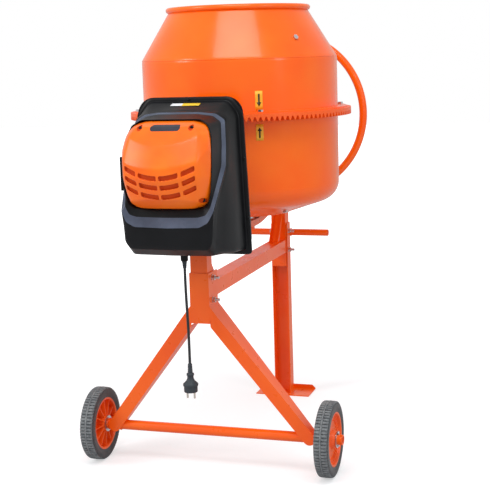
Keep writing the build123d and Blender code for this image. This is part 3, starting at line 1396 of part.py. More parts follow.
# ---------------------------------------------------------------- drum bolts
FLANGE_HIGH = UPPER_LOW + FLANGE_T
with BuildPart() as drum_bolts:
    ring_spots = [around_drum(RING_BOLT_R, angle, 0) for angle in RING_BOLT_ANGLES]
    with BuildSketch(Plane.XY.offset(FLANGE_HIGH)):
        with Locations(*ring_spots):
            RegularPolygon(NUT_ACROSS / 2, 6, major_radius=False)
    extrude(amount=HEAD_T)
    with BuildSketch(Plane.XY.offset(FLANGE_HIGH)):
        with Locations(*ring_spots):
            Circle(BOLT_R)
    extrude(amount=-(FLANGE_HIGH - TOOTH_ROOT - 2))
    with BuildSketch(*BLADE_SEATS):
        RegularPolygon(NUT_ACROSS / 2, 6, major_radius=False)
    extrude(amount=HEAD_T)
    with BuildSketch(*BLADE_SEATS):
        Circle(BOLT_R)
    extrude(amount=-(DRUM_T + BLADE_GAP + BLADE_BOSS))
    with BuildSketch(Plane.XY.offset(SPINDLE_FLANGE_LOW)):
        with Locations((0, at(0))):
            with PolarLocations(SPINDLE_BOLT_R, SPINDLE_BOLTS):
                RegularPolygon(NUT_ACROSS / 2, 6, major_radius=False)
    extrude(amount=-HEAD_T)
    with BuildSketch(Plane.XY.offset(SPINDLE_FLANGE_LOW)):
        with Locations((0, at(0))):
            with PolarLocations(SPINDLE_BOLT_R, SPINDLE_BOLTS):
                Circle(BOLT_R)
    extrude(amount=SPINDLE_FLANGE_T + DRUM_T)
    with BuildSketch(Plane.XY.offset(DRUM_FLOOR + DRUM_T)):
        with Locations((0, at(0))):
            with PolarLocations(SPINDLE_BOLT_R, SPINDLE_BOLTS):
                RegularPolygon(NUT_ACROSS / 2, 6, major_radius=False)
    extrude(amount=NUT_T)
drum_bolts.part.label = "drum_bolts"
export_step(drum_bolts.part, "parts/drum_bolts.step")

# ---------------------------------------------------------------- handwheel and its lock
with BuildPart() as handwheel_ring:
    with Locations(Plane((0, at(WHEEL_PLANE), PIVOT_H), z_dir=(0, 1, 0))):
        Torus(HANDWHEEL_R, HANDWHEEL_TUBE_R)
handwheel_ring.part.label = "handwheel_ring"
export_step(handwheel_ring.part, "parts/handwheel_ring.step")

LOCK_TIP = REAR_POST_BACK + LOCK_DISC_T + 2.5
with BuildPart() as handwheel_hub:
    with BuildSketch(facing_front(HUB_REAR)):
        with Locations((0, PIVOT_H)):
            Circle(HUB_OUT_R)
    extrude(amount=HUB_REAR - HUB_FRONT)
    for spoke in range(SPOKES):
        turn = radians(SPOKE_START + spoke * 360 / SPOKES)
        aim = Vector(cos(turn), 0, sin(turn))
        root = Vector(0, at(WHEEL_PLANE), PIVOT_H) + aim * (HUB_OUT_R - SPOKE_ROOT)
        with BuildSketch(Plane(root, z_dir=aim)):
            Circle(SPOKE_R)
        extrude(amount=HANDWHEEL_R - HUB_OUT_R + SPOKE_ROOT)
    add(handwheel_ring.part, mode=Mode.SUBTRACT)
    with BuildSketch(facing_front(HUB_FRONT + LOCK_FLANGE_T)):
        with Locations((0, PIVOT_H)):
            Circle(LOCK_FLANGE_R)
    extrude(amount=LOCK_FLANGE_T)
    with BuildSketch(facing_front(HUB_FRONT)):
        with Locations((0, PIVOT_H + LOCK_PIN_OFF)):
            Circle(LOCK_PIN_R)
    extrude(amount=HUB_FRONT - LOCK_TIP)
    with BuildSketch(facing_front(HUB_REAR)):
        with Locations((0, PIVOT_H)):
            Rectangle(SQUARE + 2 * SQUARE_GAP, SQUARE + 2 * SQUARE_GAP)
    extrude(amount=HUB_REAR - HUB_FRONT, mode=Mode.SUBTRACT)
    with BuildSketch(facing_front(HUB_REAR)):
        with Locations((0, PIVOT_H)):
            Circle(CUP_R)
    extrude(amount=CUP_DEEP, mode=Mode.SUBTRACT)
handwheel_hub.part.label = "handwheel_hub"
export_step(handwheel_hub.part, "parts/handwheel_hub.step")

with BuildPart() as lock_spring:
    with BuildSketch(facing_front(HUB_REAR)):
        with Locations((0, PIVOT_H)):
            Circle(SPRING_R + SPRING_WIRE)
            Circle(SPRING_R, mode=Mode.SUBTRACT)
    extrude(amount=CUP_DEEP - SPRING_GAP)
lock_spring.part.label = "lock_spring"
export_step(lock_spring.part, "parts/lock_spring.step")

END_WASHER_T = 4.0
END_BOLT_HEAD = 19.0
with BuildPart() as handwheel_bolt:
    with BuildSketch(facing_front(HUB_REAR + END_WASHER_T)):
        with Locations((0, PIVOT_H)):
            Circle(CUP_R - 1)
    extrude(amount=END_WASHER_T)
    with BuildSketch(facing_front(REAR_REACH)):
        with Locations((0, PIVOT_H)):
            RegularPolygon(END_BOLT_HEAD / 2, 6, major_radius=False)
    extrude(amount=REAR_REACH - HUB_REAR - END_WASHER_T)
    with BuildSketch(facing_front(HUB_REAR)):
        with Locations((0, PIVOT_H)):
            Circle(END_BOLT_R)
    extrude(amount=END_BOLT_DEEP)
handwheel_bolt.part.label = "handwheel_bolt"
export_step(handwheel_bolt.part, "parts/handwheel_bolt.step")
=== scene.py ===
import json
import math

import bmesh
import bpy
import numpy as np
from mathutils import Matrix, Vector


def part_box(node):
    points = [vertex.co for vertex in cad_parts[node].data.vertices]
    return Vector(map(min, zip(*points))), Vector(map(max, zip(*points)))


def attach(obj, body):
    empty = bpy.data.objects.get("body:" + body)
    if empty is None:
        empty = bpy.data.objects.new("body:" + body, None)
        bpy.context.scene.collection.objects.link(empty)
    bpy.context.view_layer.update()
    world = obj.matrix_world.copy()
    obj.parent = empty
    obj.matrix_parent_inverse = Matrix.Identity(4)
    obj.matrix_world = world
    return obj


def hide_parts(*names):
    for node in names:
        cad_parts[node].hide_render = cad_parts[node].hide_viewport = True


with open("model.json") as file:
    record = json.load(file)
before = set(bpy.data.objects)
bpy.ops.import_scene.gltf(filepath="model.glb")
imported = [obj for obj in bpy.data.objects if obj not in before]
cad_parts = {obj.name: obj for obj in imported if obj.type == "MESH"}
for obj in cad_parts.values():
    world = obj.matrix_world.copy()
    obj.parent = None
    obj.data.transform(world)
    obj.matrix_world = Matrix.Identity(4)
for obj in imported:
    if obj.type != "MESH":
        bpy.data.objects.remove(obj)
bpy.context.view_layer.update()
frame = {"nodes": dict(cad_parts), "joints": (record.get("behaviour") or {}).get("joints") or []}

# ---------------------------------------------------------------- viewpoint and studio
# Eye height of someone standing a few paces off, to the right of the motor side, with a long lens.
# The room is a pale shadowless studio: a white sweep, an even white sky and three soft boxes.
axis_y = next(joint["pos_m"][1] for joint in frame["joints"] if joint["name"] == "tilt")
eye = Vector((1.05406, axis_y - 3.24446, 1.10179))
heading, dip, lean = math.radians(18.0), math.radians(9.19), math.radians(-1.75)
level = Vector((-math.sin(heading), math.cos(heading), 0.0))
across = Vector((math.cos(heading), math.sin(heading), 0.0))
ahead = level * math.cos(dip) - Vector((0, 0, 1)) * math.sin(dip)
above = Vector((0, 0, 1)) * math.cos(dip) + level * math.sin(dip)
right = across * math.cos(lean) + above * math.sin(lean)
up = above * math.cos(lean) - across * math.sin(lean)
lens = bpy.data.cameras.new("viewpoint")
lens.sensor_width = 36.0
lens.lens = 87.53
lens.clip_end = 60.0
camera = bpy.data.objects.new("viewpoint", lens)
bpy.context.scene.collection.objects.link(camera)
camera.matrix_world = Matrix(((right.x, up.x, -ahead.x, eye.x), (right.y, up.y, -ahead.y, eye.y),
                              (right.z, up.z, -ahead.z, eye.z), (0, 0, 0, 1)))
bpy.context.scene.camera = camera
bpy.context.scene.view_settings.view_transform = "Standard"


def linear(code):
    """Linear RGBA of an sRGB hex code: each channel c becomes c/12.92 below 0.04045, else ((c+0.055)/1.055)^2.4."""
    srgb = np.array([int(code[i:i + 2], 16) for i in (1, 3, 5)]) / 255.0
    return (*np.where(srgb <= 0.04045, srgb / 12.92, ((srgb + 0.055) / 1.055) ** 2.4), 1.0)


def put(tree, kind, settings=None, values=None, links=None):
    """Adds one node of a kind, with its settings, its sockets' values, and its inputs' links as (node, output)."""
    made = tree.nodes.new(kind)
    for name, value in (settings or {}).items():
        setattr(made, name, value)
    for name, value in (values or {}).items():
        made.inputs[name].default_value = value
    for name, (source, output) in (links or {}).items():
        tree.links.new(source.outputs[output], made.inputs[name])
    return made


sky = bpy.data.worlds.new("white_room")
sky.use_nodes = True
glow = sky.node_tree.nodes["Background"]
glow.inputs["Color"].default_value = linear("#FFFFFF")
seen = put(sky.node_tree, "ShaderNodeLightPath")
level_of = put(sky.node_tree, "ShaderNodeMapRange", values={"To Min": 0.68, "To Max": 1.0},
               links={"Value": (seen, "Is Camera Ray")})
sky.node_tree.links.new(level_of.outputs["Result"], glow.inputs["Strength"])
bpy.context.scene.world = sky

for name, place, aim, size, power, tint in (
        ("softbox_left", (-3.2, -2.6, 2.9), (0.0, 0.0, 0.9), (1.2, 2.2), 60, "#FFFFFF"),
        ("softbox_right", (3.4, -1.6, 2.2), (0.0, 0.0, 0.8), (0.7, 2.0), 18, "#F4F8FF"),
        ("softbox_above", (0.5, -1.9, 3.9), (0.0, 0.0, 1.1), (2.6, 1.5), 66, "#FFFFFF")):
    lamp = bpy.data.lights.new(name, "AREA")
    lamp.shape = "RECTANGLE"
    lamp.size, lamp.size_y = size
    lamp.energy = power
    lamp.color = linear(tint)[:3]
    holder = bpy.data.objects.new(name, lamp)
    bpy.context.scene.collection.objects.link(holder)
    holder.location = place
    holder.rotation_euler = (Vector(aim) - Vector(place)).to_track_quat("-Z", "Y").to_euler()


def finish_named(name):
    """A new material with a Principled shader: (material, its tree, the shader, its Object coordinates)."""
    made = bpy.data.materials.new(name)
    made.use_nodes = True
    tree = made.node_tree
    shader = tree.nodes["Principled BSDF"]
    place = put(tree, "ShaderNodeTexCoord")
    return made, tree, shader, place


def noise(tree, place, scale, detail=2.0):
    """Noise in Object coordinates, with scale in cells a metre: 500 draws 2 mm cells."""
    values = {"Scale": scale, "Detail": detail}
    return put(tree, "ShaderNodeTexNoise", values=values, links={"Vector": (place, "Object")})


def tint(tree, shader, source, low, high, start=0.0, end=1.0, output="Fac"):
    """Base colour runs from hex low to hex high while the source's value goes from start to end."""
    tone = put(tree, "ShaderNodeValToRGB", links={"Fac": (source, output)})
    for stop, position, code in zip(tone.color_ramp.elements, (start, end), (low, high)):
        stop.position, stop.color = position, linear(code)
    tree.links.new(tone.outputs["Color"], shader.inputs["Base Color"])


def polish(tree, shader, source, low, high, start=0.0, end=1.0, output="Fac"):
    """Roughness runs from low to high while the source's value goes from start to end."""
    values = {"From Min": start, "From Max": end, "To Min": low, "To Max": high}
    rough = put(tree, "ShaderNodeMapRange", values=values, links={"Value": (source, output)})
    tree.links.new(rough.outputs["Result"], shader.inputs["Roughness"])


def bumped(tree, shader, source, strength, distance):
    """Bump from the source's value, strength a share and distance in metres."""
    values = {"Strength": strength, "Distance": distance}
    bump = put(tree, "ShaderNodeBump", values=values, links={"Height": (source, "Fac")})
    tree.links.new(bump.outputs["Normal"], shader.inputs["Normal"])


def mesh_piece(name, points, faces, finish, body, smooth=True):
    """A mesh object at the origin from points (n, 3) in metres and faces of 3 corners or more, riding on a body."""
    mesh = bpy.data.meshes.new(name)
    mesh.from_pydata(np.asarray(points, float).tolist(), [], faces if isinstance(faces, list) else faces.tolist())
    shell = bmesh.new()
    shell.from_mesh(mesh)
    bmesh.ops.recalc_face_normals(shell, faces=shell.faces)
    shell.to_mesh(mesh)
    shell.free()
    mesh.polygons.foreach_set("use_smooth", np.full(len(mesh.polygons), smooth))
    mesh.materials.append(finish)
    mesh.update()
    made = bpy.data.objects.new(name, mesh)
    bpy.context.scene.collection.objects.link(made)
    if body:
        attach(made, body)
    return made


def grid_faces(rows, columns, round_rows=False, round_columns=False):
    """Quads of a rows by columns grid of points stored row by row, joined round where asked."""
    r = np.arange(rows if round_rows else rows - 1)[:, None]
    c = np.arange(columns if round_columns else columns - 1)[None, :]
    r2, c2 = (r + 1) % rows, (c + 1) % columns
    return np.stack([r * columns + c, r * columns + c2, r2 * columns + c2, r2 * columns + c], -1).reshape(-1, 4)


sweep_finish, tree, shader, place = finish_named("white_studio_sweep")
shader.inputs["Base Color"].default_value = linear("#C9CACC")
shader.inputs["Roughness"].default_value = 0.9
shader.inputs["Emission Color"].default_value = linear("#FFFFFF")
reach = put(tree, "ShaderNodeVectorMath", settings={"operation": "LENGTH"}, links={0: (place, "Object")})
lift = put(tree, "ShaderNodeMapRange", values={"From Min": 0.6, "From Max": 2.6, "To Min": 0.5, "To Max": 1.0},
           links={"Value": (reach, "Value")})
seen = put(tree, "ShaderNodeLightPath")
shown = put(tree, "ShaderNodeMapRange", values={"To Min": 0.08, "To Max": 1.0},
            links={"Value": (seen, "Is Camera Ray")})
strength = put(tree, "ShaderNodeMath", settings={"operation": "MULTIPLY"},
               links={0: (lift, "Result"), 1: (shown, "Result")})
tree.links.new(strength.outputs["Value"], shader.inputs["Emission Strength"])
away = np.linspace(0, 1, 40)[:, None]
sideways = np.linspace(-14, 14, 2)[None, :]
sweep_points = np.stack(np.broadcast_arrays(sideways, -14 + 28 * away, 0 * away), -1).reshape(-1, 3)
sweep = mesh_piece("studio_sweep", sweep_points, grid_faces(40, 2), sweep_finish, None)

# ---------------------------------------------------------------- mains lead
# A short black rubber-covered lead hangs straight down out of the housing's gland to a moulded plug.
# It is one drawn length, 7 mm across, slightly bowed by its own set.
cord_finish, tree, shader, place = finish_named("black_pvc_cord")
shader.inputs["Base Color"].default_value = linear("#1B1D20")
shader.inputs["Roughness"].default_value = 0.45
shader.inputs["IOR"].default_value = 1.5
grain = noise(tree, place, 700.0, 3.0)
bumped(tree, shader, grain, 0.15, 0.0004)

cord_points = np.array(((0.0, -0.495, 0.589), (0.0, -0.495, 0.538), (0.0014, -0.4956, 0.484),
                        (0.0034, -0.4954, 0.430), (0.0040, -0.495, 0.378), (0.0040, -0.495, 0.326)))
cord_points[:, 1] += axis_y
line = bpy.data.curves.new("mains_lead", "CURVE")
line.dimensions = "3D"
line.bevel_depth = 0.0035
line.bevel_resolution = 6
line.resolution_u = 16
line.use_fill_caps = True
run = line.splines.new("NURBS")
run.points.add(len(cord_points) - 1)
run.points.foreach_set("co", np.hstack([cord_points, np.ones((len(cord_points), 1))]).ravel())
run.order_u = 3
run.use_endpoint_u = True
line.materials.append(cord_finish)
mains_lead = bpy.data.objects.new("mains_lead", line)
bpy.context.scene.collection.objects.link(mains_lead)
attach(mains_lead, "frame")
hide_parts("power_cord")

# ---------------------------------------------------------------- plug and strain relief
# The relief under the gland and the plug are moulded rubber: ringed sleeves that taper onto the lead,
# then the plug's waist, skirt and flat-sided foot. The two pins are nickel-plated brass.
rubber_finish, tree, shader, place = finish_named("moulded_rubber_plug")
shader.inputs["Base Color"].default_value = linear("#272D33")
shader.inputs["Roughness"].default_value = 0.55
shader.inputs["IOR"].default_value = 1.5
grain = noise(tree, place, 900.0, 4.0)
tint(tree, shader, grain, "#22272C", "#363E46")
bumped(tree, shader, grain, 0.25, 0.0003)


def turned(profile, centre, steps=48):
    """Closed surface of (radius, height) rows in mm turned about an upright line through centre (x, y) in mm.

    A point is centre + radius*(cos t, sin t), at the row's height; the first and last rows are capped.
    """
    profile = np.asarray(profile, float)
    t = np.linspace(0, 2 * math.pi, steps, endpoint=False)[None, :]
    points = np.stack([centre[0] + profile[:, 0:1] * np.cos(t), centre[1] + profile[:, 0:1] * np.sin(t),
                       profile[:, 1:2] + 0 * t], -1).reshape(-1, 3)
    ends = [list(range(steps)), list(range(len(points) - steps, len(points)))]
    return points / 1000, grid_faces(len(profile), steps, round_columns=True).tolist() + ends


def ringed(top, low, wide, narrow, rings):
    """Profile of a ringed sleeve: radius falls evenly from wide to narrow, with a 0.8 mm groove between rings."""
    z = np.linspace(top, low, rings * 6 + 1)
    share = (top - z) / (top - low)
    groove = (np.arange(len(z)) % 6 == 0) | (np.arange(len(z)) % 6 == 5)
    return np.stack([wide + (narrow - wide) * share - np.where(groove, 0.9, 0.0), z], -1)


relief_rows = np.vstack([[[6.6, 596.0], [7.2, 594.0], [7.2, 589.0]], ringed(588.0, 572.0, 6.4, 4.8, 4),
                         [[3.7, 571.0]]])
points, faces = turned(relief_rows, (0.0, 1000 * axis_y - 495.0))
cord_relief = mesh_piece("cord_relief", points, faces, rubber_finish, "frame")

plug_rows = np.vstack([[[3.8, 326.0], [5.2, 325.0]], ringed(324.0, 303.0, 5.6, 6.6, 4),
                       [[8.0, 301.0], [9.6, 300.0], [9.8, 296.0], [8.4, 294.0], [8.0, 290.0], [8.8, 286.0],
                        [11.5, 281.0], [15.5, 277.0], [18.3, 274.5], [19.4, 273.0], [19.4, 269.0], [18.6, 267.5],
                        [17.2, 266.5],
                        [17.4, 264.0], [17.4, 253.5], [16.6, 252.0]]])
points, faces = turned(plug_rows, (4.0, 1000 * axis_y - 495.0), steps=64)
plug = mesh_piece("mains_plug", points, faces, rubber_finish, "frame")
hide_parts("plug_body")

pin_finish, tree, shader, place = finish_named("nickel_plated_brass_pins")
shader.inputs["Metallic"].default_value = 1.0
grain = noise(tree, place, 1200.0)
polish(tree, shader, grain, 0.2, 0.34)
shader.inputs["Base Color"].default_value = linear("#C9C3B8")
frame["nodes"]["plug_pins"].material_slots[0].material = pin_finish

# ---------------------------------------------------------------- painted frame
# Folded and welded steel sheet and tube, sprayed with orange polyester powder and stoved, which leaves
# a glossy coat with a faint ripple. Beads of weld run where the legs, axle, beam and foot meet.
def powder_coat(name, low, high, ripple, gloss):
    """Stoved powder paint: tone drifts between two oranges over 150 mm, with a fine ripple and a clear gloss."""
    made, tree, shader, place = finish_named(name)
    drift = noise(tree, place, 6.5, 2.0)
    tint(tree, shader, drift, low, high, 0.3, 0.7)
    haze = noise(tree, place, 38.0, 4.0)
    polish(tree, shader, haze, gloss, gloss + 0.1, 0.3, 0.7)
    peel = noise(tree, place, 1000.0 / ripple, 1.0)
    bumped(tree, shader, peel, 0.035, 0.0006)
    shader.inputs["IOR"].default_value = 1.5
    shader.inputs["Specular IOR Level"].default_value = 0.36
    shader.inputs["Coat Weight"].default_value = 0.15
    shader.inputs["Coat Roughness"].default_value = 0.06
    return made


frame_coat = powder_coat("frame_powder_coat", "#FB5A02", "#FF6808", 7.0, 0.26)
for name in ("stand_channel", "leg_left", "leg_right", "axle_tube", "front_post", "main_beam", "rear_post",
             "front_brace", "rear_brace", "rear_leg", "foot_plate", "transport_handle", "front_saddle", "rear_saddle"):
    frame["nodes"][name].material_slots[0].material = frame_coat


def weld_bead(name, path, radius, closed, finish, body, ripple=0.16):
    """A 10-sided round carried along points (n, 3) in mm, its radius times 1 + ripple*sin(2 pi travel/5)."""
    path = np.asarray(path, float)
    ahead = np.roll(path, -1, 0) - path if closed else np.gradient(path, axis=0)
    step = np.linalg.norm(ahead, axis=1)
    travel = np.concatenate([[0], np.cumsum(step)[:-1]])
    ahead /= step[:, None]
    side = np.cross(ahead, np.where(np.abs(ahead[:, 2:3]) > 0.9, [[1.0, 0, 0]], [[0, 0, 1.0]]))
    side /= np.linalg.norm(side, axis=1)[:, None]
    over = np.cross(side, ahead)
    t = np.linspace(0, 2 * math.pi, 10, endpoint=False)[None, :, None]
    swell = (radius * (1 + ripple * np.sin(travel * 2 * math.pi / 5)))[:, None, None]
    points = path[:, None] + swell * (np.cos(t) * side[:, None] + np.sin(t) * over[:, None])
    faces = grid_faces(len(path), 10, round_rows=closed, round_columns=True).tolist()
    if not closed:
        faces += [list(range(10)), list(range(10 * len(path) - 10, 10 * len(path)))]
    return mesh_piece(name, points.reshape(-1, 3) / 1000, faces, finish, body)


def hoop(centre, normal, radius, steps=110):
    """Points (n, 3) of a circle: centre + radius*(cos t, sin t) in the plane square to X, Y or Z."""
    t = np.linspace(0, 2 * math.pi, steps, endpoint=False)
    a, b = [k for k in range(3) if k != "XYZ".index(normal)]
    points = np.tile(np.asarray(centre, float), (steps, 1))
    points[:, a] += radius * np.cos(t)
    points[:, b] += radius * np.sin(t)
    return points


def corners_path(corners, closed, gap=1.0):
    """Points (n, 3) every gap mm or so along straight runs between corners."""
    corners = np.asarray(corners, float)
    ends = np.vstack([corners, corners[:1]]) if closed else corners
    runs = [a + (b - a) * np.linspace(0, 1, max(2, int(np.linalg.norm(b - a) / gap)), endpoint=False)[:, None]
            for a, b in zip(ends, ends[1:])]
    return np.vstack(runs if closed else runs + [ends[-1:]])


bead_coat = powder_coat("painted_weld_bead", "#F25202", "#FD6206", 3.0, 0.3)
axle_lo, axle_hi = (1000 * np.array(corner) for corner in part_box("axle_tube"))
axle_mid = (axle_lo + axle_hi) / 2
foot_lo = 1000 * np.array(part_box("foot_plate")[0])
rear_lo, rear_hi = (1000 * np.array(corner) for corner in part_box("rear_leg"))
beam_lo, beam_hi = (1000 * np.array(corner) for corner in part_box("main_beam"))
handle_lo, handle_hi = (1000 * np.array(corner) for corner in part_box("transport_handle"))
post_hi = 1000 * np.array(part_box("front_post")[1])
back_lo = 1000 * np.array(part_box("rear_post")[0])
handle_mid = (handle_lo + handle_hi) / 2
for side, hand in ((-1, "left"), (1, "right")):
    for word, x in (("inner", 262.0), ("outer", 297.0)):
        weld_bead(f"weld_axle_{word}_{hand}", hoop((side * x, axle_mid[1], 100.0), "X", 14.2, 90), 1.7, True,
                  bead_coat, "frame")
    weld_bead(f"weld_handle_{hand}", hoop((side * rear_hi[0], handle_mid[1], handle_mid[2]), "X", 11.4, 70), 1.6, True,
              bead_coat, "frame")
floor_of_foot = foot_lo[2] + 3.0
weld_bead("weld_foot", corners_path([(rear_lo[0], rear_hi[1], floor_of_foot), (rear_lo[0], rear_lo[1], floor_of_foot),
                                     (rear_hi[0], rear_lo[1], floor_of_foot),
                                     (rear_hi[0], rear_hi[1], floor_of_foot)], False), 2.2, False, bead_coat, "frame")
for word, y, z0, z1 in (("front", post_hi[1], beam_lo[2], beam_hi[2]), ("rear", back_lo[1], beam_lo[2], beam_hi[2])):
    weld_bead(f"weld_beam_{word}", corners_path([(beam_lo[0], y, z0), (beam_lo[0], y, z1), (beam_hi[0], y, z1),
                                                 (beam_hi[0], y, z0)], True), 1.9, True, bead_coat, "frame")

# ---------------------------------------------------------------- bolts, nuts and washers
# M8 bolts, nuts and plain washers clamp the posts into the stand, the flanges of the drum and the
# housing. They are pressed steel, bright zinc plated and passivated, which leaves a faint blue mottle.
zinc, tree, shader, place = finish_named("bright_zinc_plate")
mottle = put(tree, "ShaderNodeTexVoronoi", values={"Scale": 260.0}, links={"Vector": (place, "Object")})
tint(tree, shader, mottle, "#C6CAD0", "#E2E4E6", output="Distance")
polish(tree, shader, mottle, 0.2, 0.4, output="Distance")
shader.inputs["Metallic"].default_value = 1.0
for name in ("frame_bolts", "frame_nuts", "frame_washers", "drum_bolts", "axle_washers", "split_pins",
             "handwheel_bolt"):
    frame["nodes"][name].material_slots[0].material = zinc

screw_black, tree, shader, place = finish_named("black_oxide_screws")
grain = noise(tree, place, 800.0)
polish(tree, shader, grain, 0.3, 0.5)
shader.inputs["Base Color"].default_value = linear("#2A2A2C")
shader.inputs["Metallic"].default_value = 0.85
frame["nodes"]["housing_screws"].material_slots[0].material = screw_black

# ---------------------------------------------------------------- transport wheels
# Solid rubber tyres, 200 mm across, pressed on rims moulded in orange polypropylene. The tread has a
# thin rib round the middle and a row of blocks each side; the rim has a ribbed inner face and a dished
# outer one with short ribs near the edge.
rubber, tree, shader, place = finish_named("solid_tyre_rubber")
worn = noise(tree, place, 55.0, 5.0)
tint(tree, shader, worn, "#2B2D30", "#3B3E41", 0.35, 0.7)
grain = noise(tree, place, 650.0, 3.0)
bumped(tree, shader, grain, 0.3, 0.0004)
shader.inputs["Roughness"].default_value = 0.62
shader.inputs["IOR"].default_value = 1.52
shader.inputs["Sheen Weight"].default_value = 0.15

tread, tree, shader, place = finish_named("scuffed_tread_rubber")
dust = noise(tree, place, 90.0, 6.0)
tint(tree, shader, dust, "#5E6266", "#8A8D8E", 0.3, 0.75)
bumped(tree, shader, dust, 0.35, 0.0005)
shader.inputs["Roughness"].default_value = 0.8

tyre_rows = np.array([  # place across the tyre, radius, share of the block cut
    (-15.0, 71.2, 0), (-17.4, 71.2, 0), (-18.2, 73.5, 0), (-18.4, 80.0, 0), (-19.0, 81.0, 0), (-19.0, 88.0, 0),
    (-18.7, 92.0, 0), (-18.2, 94.0, .45), (-17.4, 96.4, .8), (-16.2, 98.4, 1), (-14.8, 99.3, 1), (-9.0, 99.7, 1),
    (-3.4, 99.8, 1), (-2.9, 99.0, .9), (-2.2, 98.6, 0), (-1.8, 99.9, 0), (-1.2, 100.0, 0)])
tyre_rows = np.vstack([tyre_rows, tyre_rows[::-1] * [-1, 1, 1], [(12.0, 71.2, 0), (0.0, 71.2, 0), (-12.0, 71.2, 0)]])
blocks = 70
steps = np.array([0.0, 0.05, 0.40, 0.47, 0.72])
deep = np.array([0.0, 3.4, 3.4, 0.0, 0.0])
turn = (2 * math.pi / blocks) * (np.arange(blocks)[:, None] + steps[None, :]).ravel()
deep = np.tile(deep, blocks)


def about_wheel(x, radius, turn, side, offset=0.0):
    """Points round a wheel's axle: x across, then radius*(cos t, sin t), moved offset mm square to the radius."""
    y = axle_mid[1] + radius * np.cos(turn) - offset * np.sin(turn)
    z = 100.0 + radius * np.sin(turn) + offset * np.cos(turn)
    return np.stack(np.broadcast_arrays(side * x, y, z), -1)


rim_plastic, tree, shader, place = finish_named("moulded_orange_polypropylene")
flow = noise(tree, place, 24.0, 2.0)
tint(tree, shader, flow, "#F0560E", "#FF6E1E")
grain = noise(tree, place, 500.0)
bumped(tree, shader, grain, 0.12, 0.0003)
shader.inputs["Roughness"].default_value = 0.38
shader.inputs["IOR"].default_value = 1.49

rim_rows = np.array([  # place across, radius, ribs' place inside, ribs' place outside; nan where there are none
    (-21.0, 13.8, 0, 0), (-21.0, 20.0, 0, 0), (-20.0, 21.0, 0, 0), (1.5, 22.0, -18.0, 0), (1.5, 30.0, -16.8, 0),
    (1.5, 44.0, -15.4, 0), (1.5, 58.0, -14.6, 0), (1.0, 63.5, -14.4, 0), (-12.0, 65.0, 0, 0), (-16.6, 66.0, 0, 0),
    (-17.6, 67.5, 0, 0), (-17.6, 71.4, 0, 0), (0.0, 71.4, 0, 0), (17.6, 71.4, 0, 0), (17.6, 67.6, 0, 0),
    (16.6, 66.2, 0, 0), (10.5, 64.6, 0, 0), (8.6, 62.0, 0, 10.6), (7.4, 54.0, 0, 10.4), (6.9, 50.0, 0, 10.0),
    (6.6, 48.0, 0, 0), (5.8, 40.0, 0, 0), (6.2, 30.0, 0, 0), (8.5, 25.0, 0, 0), (15.0, 22.6, 0, 0), (20.2, 21.0, 0, 0),
    (21.0, 20.0, 0, 0), (21.0, 13.8, 0, 0)])
teeth = 36
offsets = np.array([-1.6, -1.25, 1.25, 1.6, 99.0])


def rim_points(side):
    """Rim surface: rows turned about the axle, with every third rib lifted inside and every rib lifted outside."""
    place, radius = rim_rows[:, 0:1], rim_rows[:, 1:2]
    base = np.repeat(np.arange(teeth) * 2 * math.pi / teeth, 5)[None, :]
    shift = np.tile(offsets, teeth)[None, :]
    half_gap = math.pi / teeth
    turn = np.where(shift > 50, base + half_gap, base + np.clip(shift / radius, -half_gap, half_gap))
    ridge = (np.abs(shift) < 1.5)
    inside = ridge & (np.repeat(np.arange(teeth) % 3 == 0, 5)[None, :]) & (rim_rows[:, 2:3] != 0)
    outside = ridge & (rim_rows[:, 3:4] != 0)
    x = np.where(inside, rim_rows[:, 2:3], np.where(outside, rim_rows[:, 3:4], place))
    return about_wheel(325.0 + x, radius, turn, side)


for side, word in ((-1, "left"), (1, "right")):
    cut_radius = tyre_rows[:, 1:2] - tyre_rows[:, 2:3] * deep[None, :]
    points = about_wheel(325.0 + tyre_rows[:, 0:1], cut_radius, turn[None, :], side)
    tyre = mesh_piece(f"tyre_tread_{word}", points.reshape(-1, 3) / 1000,
                      grid_faces(len(tyre_rows), len(turn), True, True), rubber, f"wheel_{word}")
    tyre.data.materials.append(tread)
    row = np.repeat(np.arange(len(tyre_rows)), len(turn))
    tyre.data.polygons.foreach_set("material_index", ((row >= 8) & (row <= 24)).astype(np.int32))
    flat = tyre.modifiers.new("crisp_blocks", "EDGE_SPLIT")
    flat.split_angle = math.radians(38)
    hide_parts(f"tyre_{word}")
    points = rim_points(side)
    rim = mesh_piece(f"ribbed_rim_{word}", points.reshape(-1, 3) / 1000,
                     grid_faces(len(rim_rows), 5 * teeth, True, True), rim_plastic, f"wheel_{word}")
    flat = rim.modifiers.new("crisp_ribs", "EDGE_SPLIT")
    flat.split_angle = math.radians(35)
    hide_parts(f"rim_{word}")

# ---------------------------------------------------------------- motor housing
# The housing is two mouldings in black ABS, half gloss: a shallow pan bolted to the front post, and a
# bulged body screwed to the pan's rim. A ledge runs round the body's shoulder, outside the cover; it is
# the same black moulding, drawn pale grey-blue as a painted reflection of the white studio.
def moulded_black(name, low, high, gloss):
    """Half-gloss ABS: two near-black tones over 60 mm, a spark-eroded grain of 0.8 mm drawn at 2 mm."""
    made, tree, shader, place = finish_named(name)
    flow = noise(tree, place, 16.0, 3.0)
    tint(tree, shader, flow, low, high, 0.35, 0.7)
    grain = noise(tree, place, 500.0, 2.0)
    bumped(tree, shader, grain, 0.12, 0.0003)
    polish(tree, shader, flow, gloss, gloss + 0.08, 0.3, 0.7)
    shader.inputs["IOR"].default_value = 1.53
    shader.inputs["Specular IOR Level"].default_value = 0.16
    return made


black_abs = moulded_black("black_abs_moulding", "#0B0C0E", "#121316", 0.3)
# Painted reflection: the ledge's grey-blue tones stand for the white studio mirrored in the black ABS.
ledge_painted_reflection_abs = moulded_black("black_abs_ledge_painted_reflection", "#474D5C", "#586072", 0.22)
for name in ("housing_back", "switch_box", "cable_gland"):
    frame["nodes"][name].material_slots[0].material = black_abs


